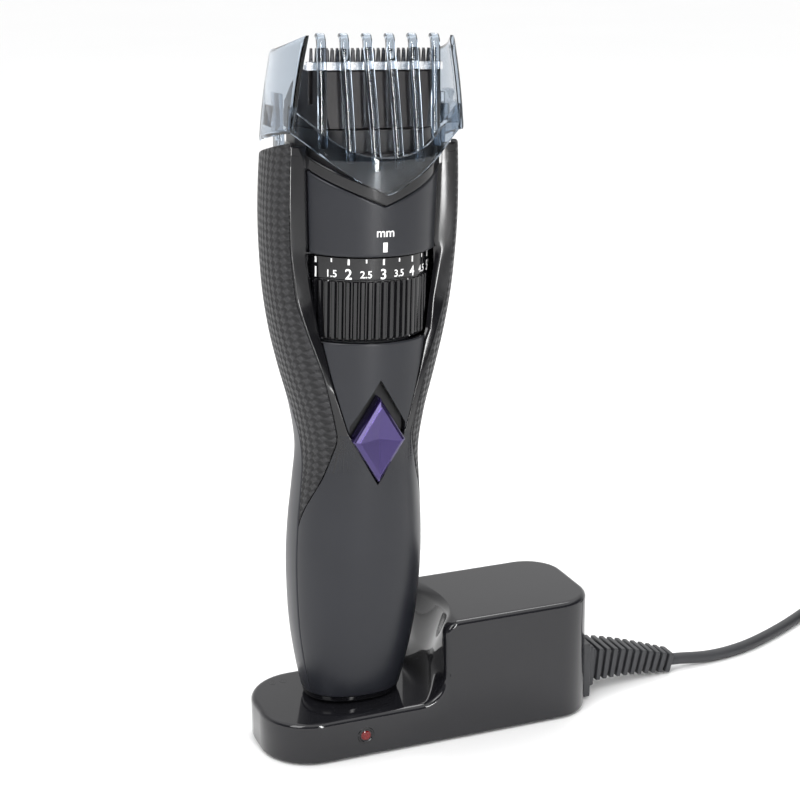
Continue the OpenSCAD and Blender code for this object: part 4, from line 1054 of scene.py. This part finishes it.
def cord_path():
    lead = [(79, 0, 3.1), (82.5, 0, 2.85), (87, -0.1, 2.35), (92, -0.1, 1.9), (98, 0.4, 1.72),
            (105, 1.8, 1.7), (112, 4.2, 1.7), (119, 7.2, 1.7), (126, 10.6, 1.7), (133, 14.4, 1.7),
            (140, 18.4, 1.7), (147, 22.2, 1.75), (154, 25.3, 1.9), (161, 27.2, 2.2), (168, 27.8, 2.5)]
    path = catmull(lead, 4)
    lanes = [2, 1, 0, 0, 1, 2, 2, 1, 0, 0, 1, 2]
    per = 36
    for turn, lane in enumerate(lanes):
        prev = lanes[turn - 1] if turn else lane
        r0, r1 = (COIL_R + (k - 1) * CORD_D for k in (prev, lane))
        z0, z1 = (COIL_BASE + CORD_D * (0.5 + max(k, 0) // 3) for k in (turn - 1, turn))
        last = turn == len(lanes) - 1
        for k in range(1, per * 3 // 4 if last else per + 1):
            f = k / per
            e = ease(f / 0.25)
            a = math.radians(90 - 360 * f)
            r, z = r0 + (r1 - r0) * e, z0 + (z1 - z0) * e
            if last:
                z += 0.4 * ease((f - 0.68) / 0.07)
            path.append(np.array((COIL_X + r * math.cos(a), COIL_Y + r * math.sin(a), z)))
    z_top = path[-1][2]
    for k in range(13):
        a = math.radians(180 - 90 * k / 12)
        path.append(np.array((COIL_X - 7.8 + 16 * math.cos(a), COIL_Y + 16 * math.sin(a),
                              z_top + 0.35 + (20.9 - z_top - 0.35) * (k / 12) ** 0.92)))
    return path + [np.array(p) for p in ((162.2, 20.0, 21.15), (164.3, 20.0, 21.27), (166.5, 20.0, 21.3))]


def build_cord():
    path = cord_path()
    curve = bpy.data.curves.new("mains_cord", "CURVE")
    curve.dimensions = "3D"
    curve.bevel_depth = CORD_D / 2 * MM
    curve.bevel_resolution = 4
    curve.use_fill_caps = True
    spline = curve.splines.new("POLY")
    spline.points.add(len(path) - 1)
    for p, q in zip(spline.points, path):
        p.co = (q[0] * MM, q[1] * MM, q[2] * MM, 1.0)
    curve.materials.append(CORD)
    obj = bpy.data.objects.new("mains_cord", curve)
    scene.collection.objects.link(obj)
    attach(obj, "stand")
    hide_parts("cord_lead", "cord_coil", "cord_tail")
    plug = build_plug()


def build_plug():
    """A flat moulded two-pin plug: wide nose, tapering grip and a ribbed tail."""
    s = Solid()
    px, py, pz = 166.0, 20.0, 21.3
    sections = [(8, 5.3, 5.6), (9, 5.9, 6.0), (14, 9.0, 6.5), (22, 12.2, 6.65), (30, 15.3, 6.7),
                (35.2, 15.4, 6.7), (35.8, 15.1, 6.4), (36, 14.6, 5.9)]
    rows = []
    for x, hw, hh in sections:
        ring = []
        for i in range(48):
            a = 2 * math.pi * i / 48
            c, d = math.cos(a), math.sin(a)
            ring.append((px + x, py + hw * math.copysign(abs(c) ** 0.45, c),
                        pz + hh * math.copysign(abs(d) ** 0.55, d)))
        rows.append(ring)
    s.grid(rows, closed_u=True, cap=True)
    rows = []
    for k in range(4):
        x, r = -2 + k * 2.6, 3 + k * 0.35
        for dx, q in ((0, r - 0.75), (0.1, r - 0.25), (0.35, r), (1.2, r), (1.45, r - 0.25),
                      (1.55, r - 0.75)):
            rows.append([(px + x + dx, py + q * math.cos(2 * math.pi * i / 32),
                        pz + q * math.sin(2 * math.pi * i / 32)) for i in range(32)])
    s.grid(rows, closed_u=True, cap=True)
    return piece("plug_grip", s.v, s.f, CORD, "stand", ["plug_body"], local=False)


build_cord()
build_shells()
build_button()
build_dial()
build_comb()
build_stand()
build_relief()


# ------------------------------------------------------------------ studio
def area_light(name, where, target, size, power, color=(1, 1, 1)):
    data = bpy.data.lights.new(name, "AREA")
    data.shape = "RECTANGLE"
    data.size, data.size_y = size
    data.energy = power
    data.color = color
    obj = bpy.data.objects.new(name, data)
    scene.collection.objects.link(obj)
    obj.location = where
    obj.rotation_euler = (Vector(target) - Vector(where)).to_track_quat("-Z", "Y").to_euler()


def build_studio():
    mesh = bpy.data.meshes.new("floor")
    mesh.from_pydata([(-4, -4, 0), (4, -4, 0), (4, 4, 0), (-4, 4, 0)], [], [(0, 1, 2, 3)])
    floor = bpy.data.objects.new("floor", mesh)
    scene.collection.objects.link(floor)
    g = Graph("floor_pale")
    mesh.materials.append(g.set(color=g.ramp(g.noise(3.0), [(0.3, (0.89, 0.89, 0.89)),
                          (0.7, (0.9, 0.9, 0.9))]), rough=0.75))
    world = bpy.data.worlds.new("studio")
    scene.world = world
    world.use_nodes = True
    t = world.node_tree
    xyz = t.nodes.new("ShaderNodeSeparateXYZ")
    t.links.new(t.nodes.new("ShaderNodeTexCoord").outputs["Generated"], xyz.inputs["Vector"])

    def dome(stops):
        ramp = t.nodes.new("ShaderNodeValToRGB")
        while len(ramp.color_ramp.elements) < len(stops):
            ramp.color_ramp.elements.new(0.5)
        for e, (p, v) in zip(ramp.color_ramp.elements, stops):
            e.position = p
            e.color = (v, v, v, 1.0)
        t.links.new(xyz.outputs["Z"], ramp.inputs["Fac"])
        return ramp.outputs["Color"]

    # white all round at the floor and overhead; darker in front of the set than behind it
    side = t.nodes.new("ShaderNodeMapRange")
    side.inputs["From Min"].default_value, side.inputs["From Max"].default_value = -0.1, 0.5
    t.links.new(xyz.outputs["Y"], side.inputs["Value"])
    mix = t.nodes.new("ShaderNodeMixRGB")
    t.links.new(side.outputs["Result"], mix.inputs["Fac"])
    t.links.new(dome([(0.0, 0.7), (0.03, 0.06), (0.55, 0.05), (0.75, 1.0)]), mix.inputs["Color1"])
    t.links.new(dome([(0.0, 1.0), (0.3, 0.62), (0.5, 0.5), (0.75, 1.0)]), mix.inputs["Color2"])
    t.links.new(mix.outputs["Color"], t.nodes["Background"].inputs["Color"])
    t.nodes["Background"].inputs["Strength"].default_value = 1.55
    scene.view_settings.view_transform = "Standard"
    area_light("key", (-0.62, -0.5, 0.7), (0, 0, 0.08), (0.4, 0.7), 5.0)
    area_light("fill", (0.06, -0.95, 0.36), (0, 0, 0.1), (0.08, 0.9), 6.5)
    area_light("rim", (0.3, 0.4, 0.9), (0, 0, 0.12), (0.4, 0.4), 2.5)


build_studio()
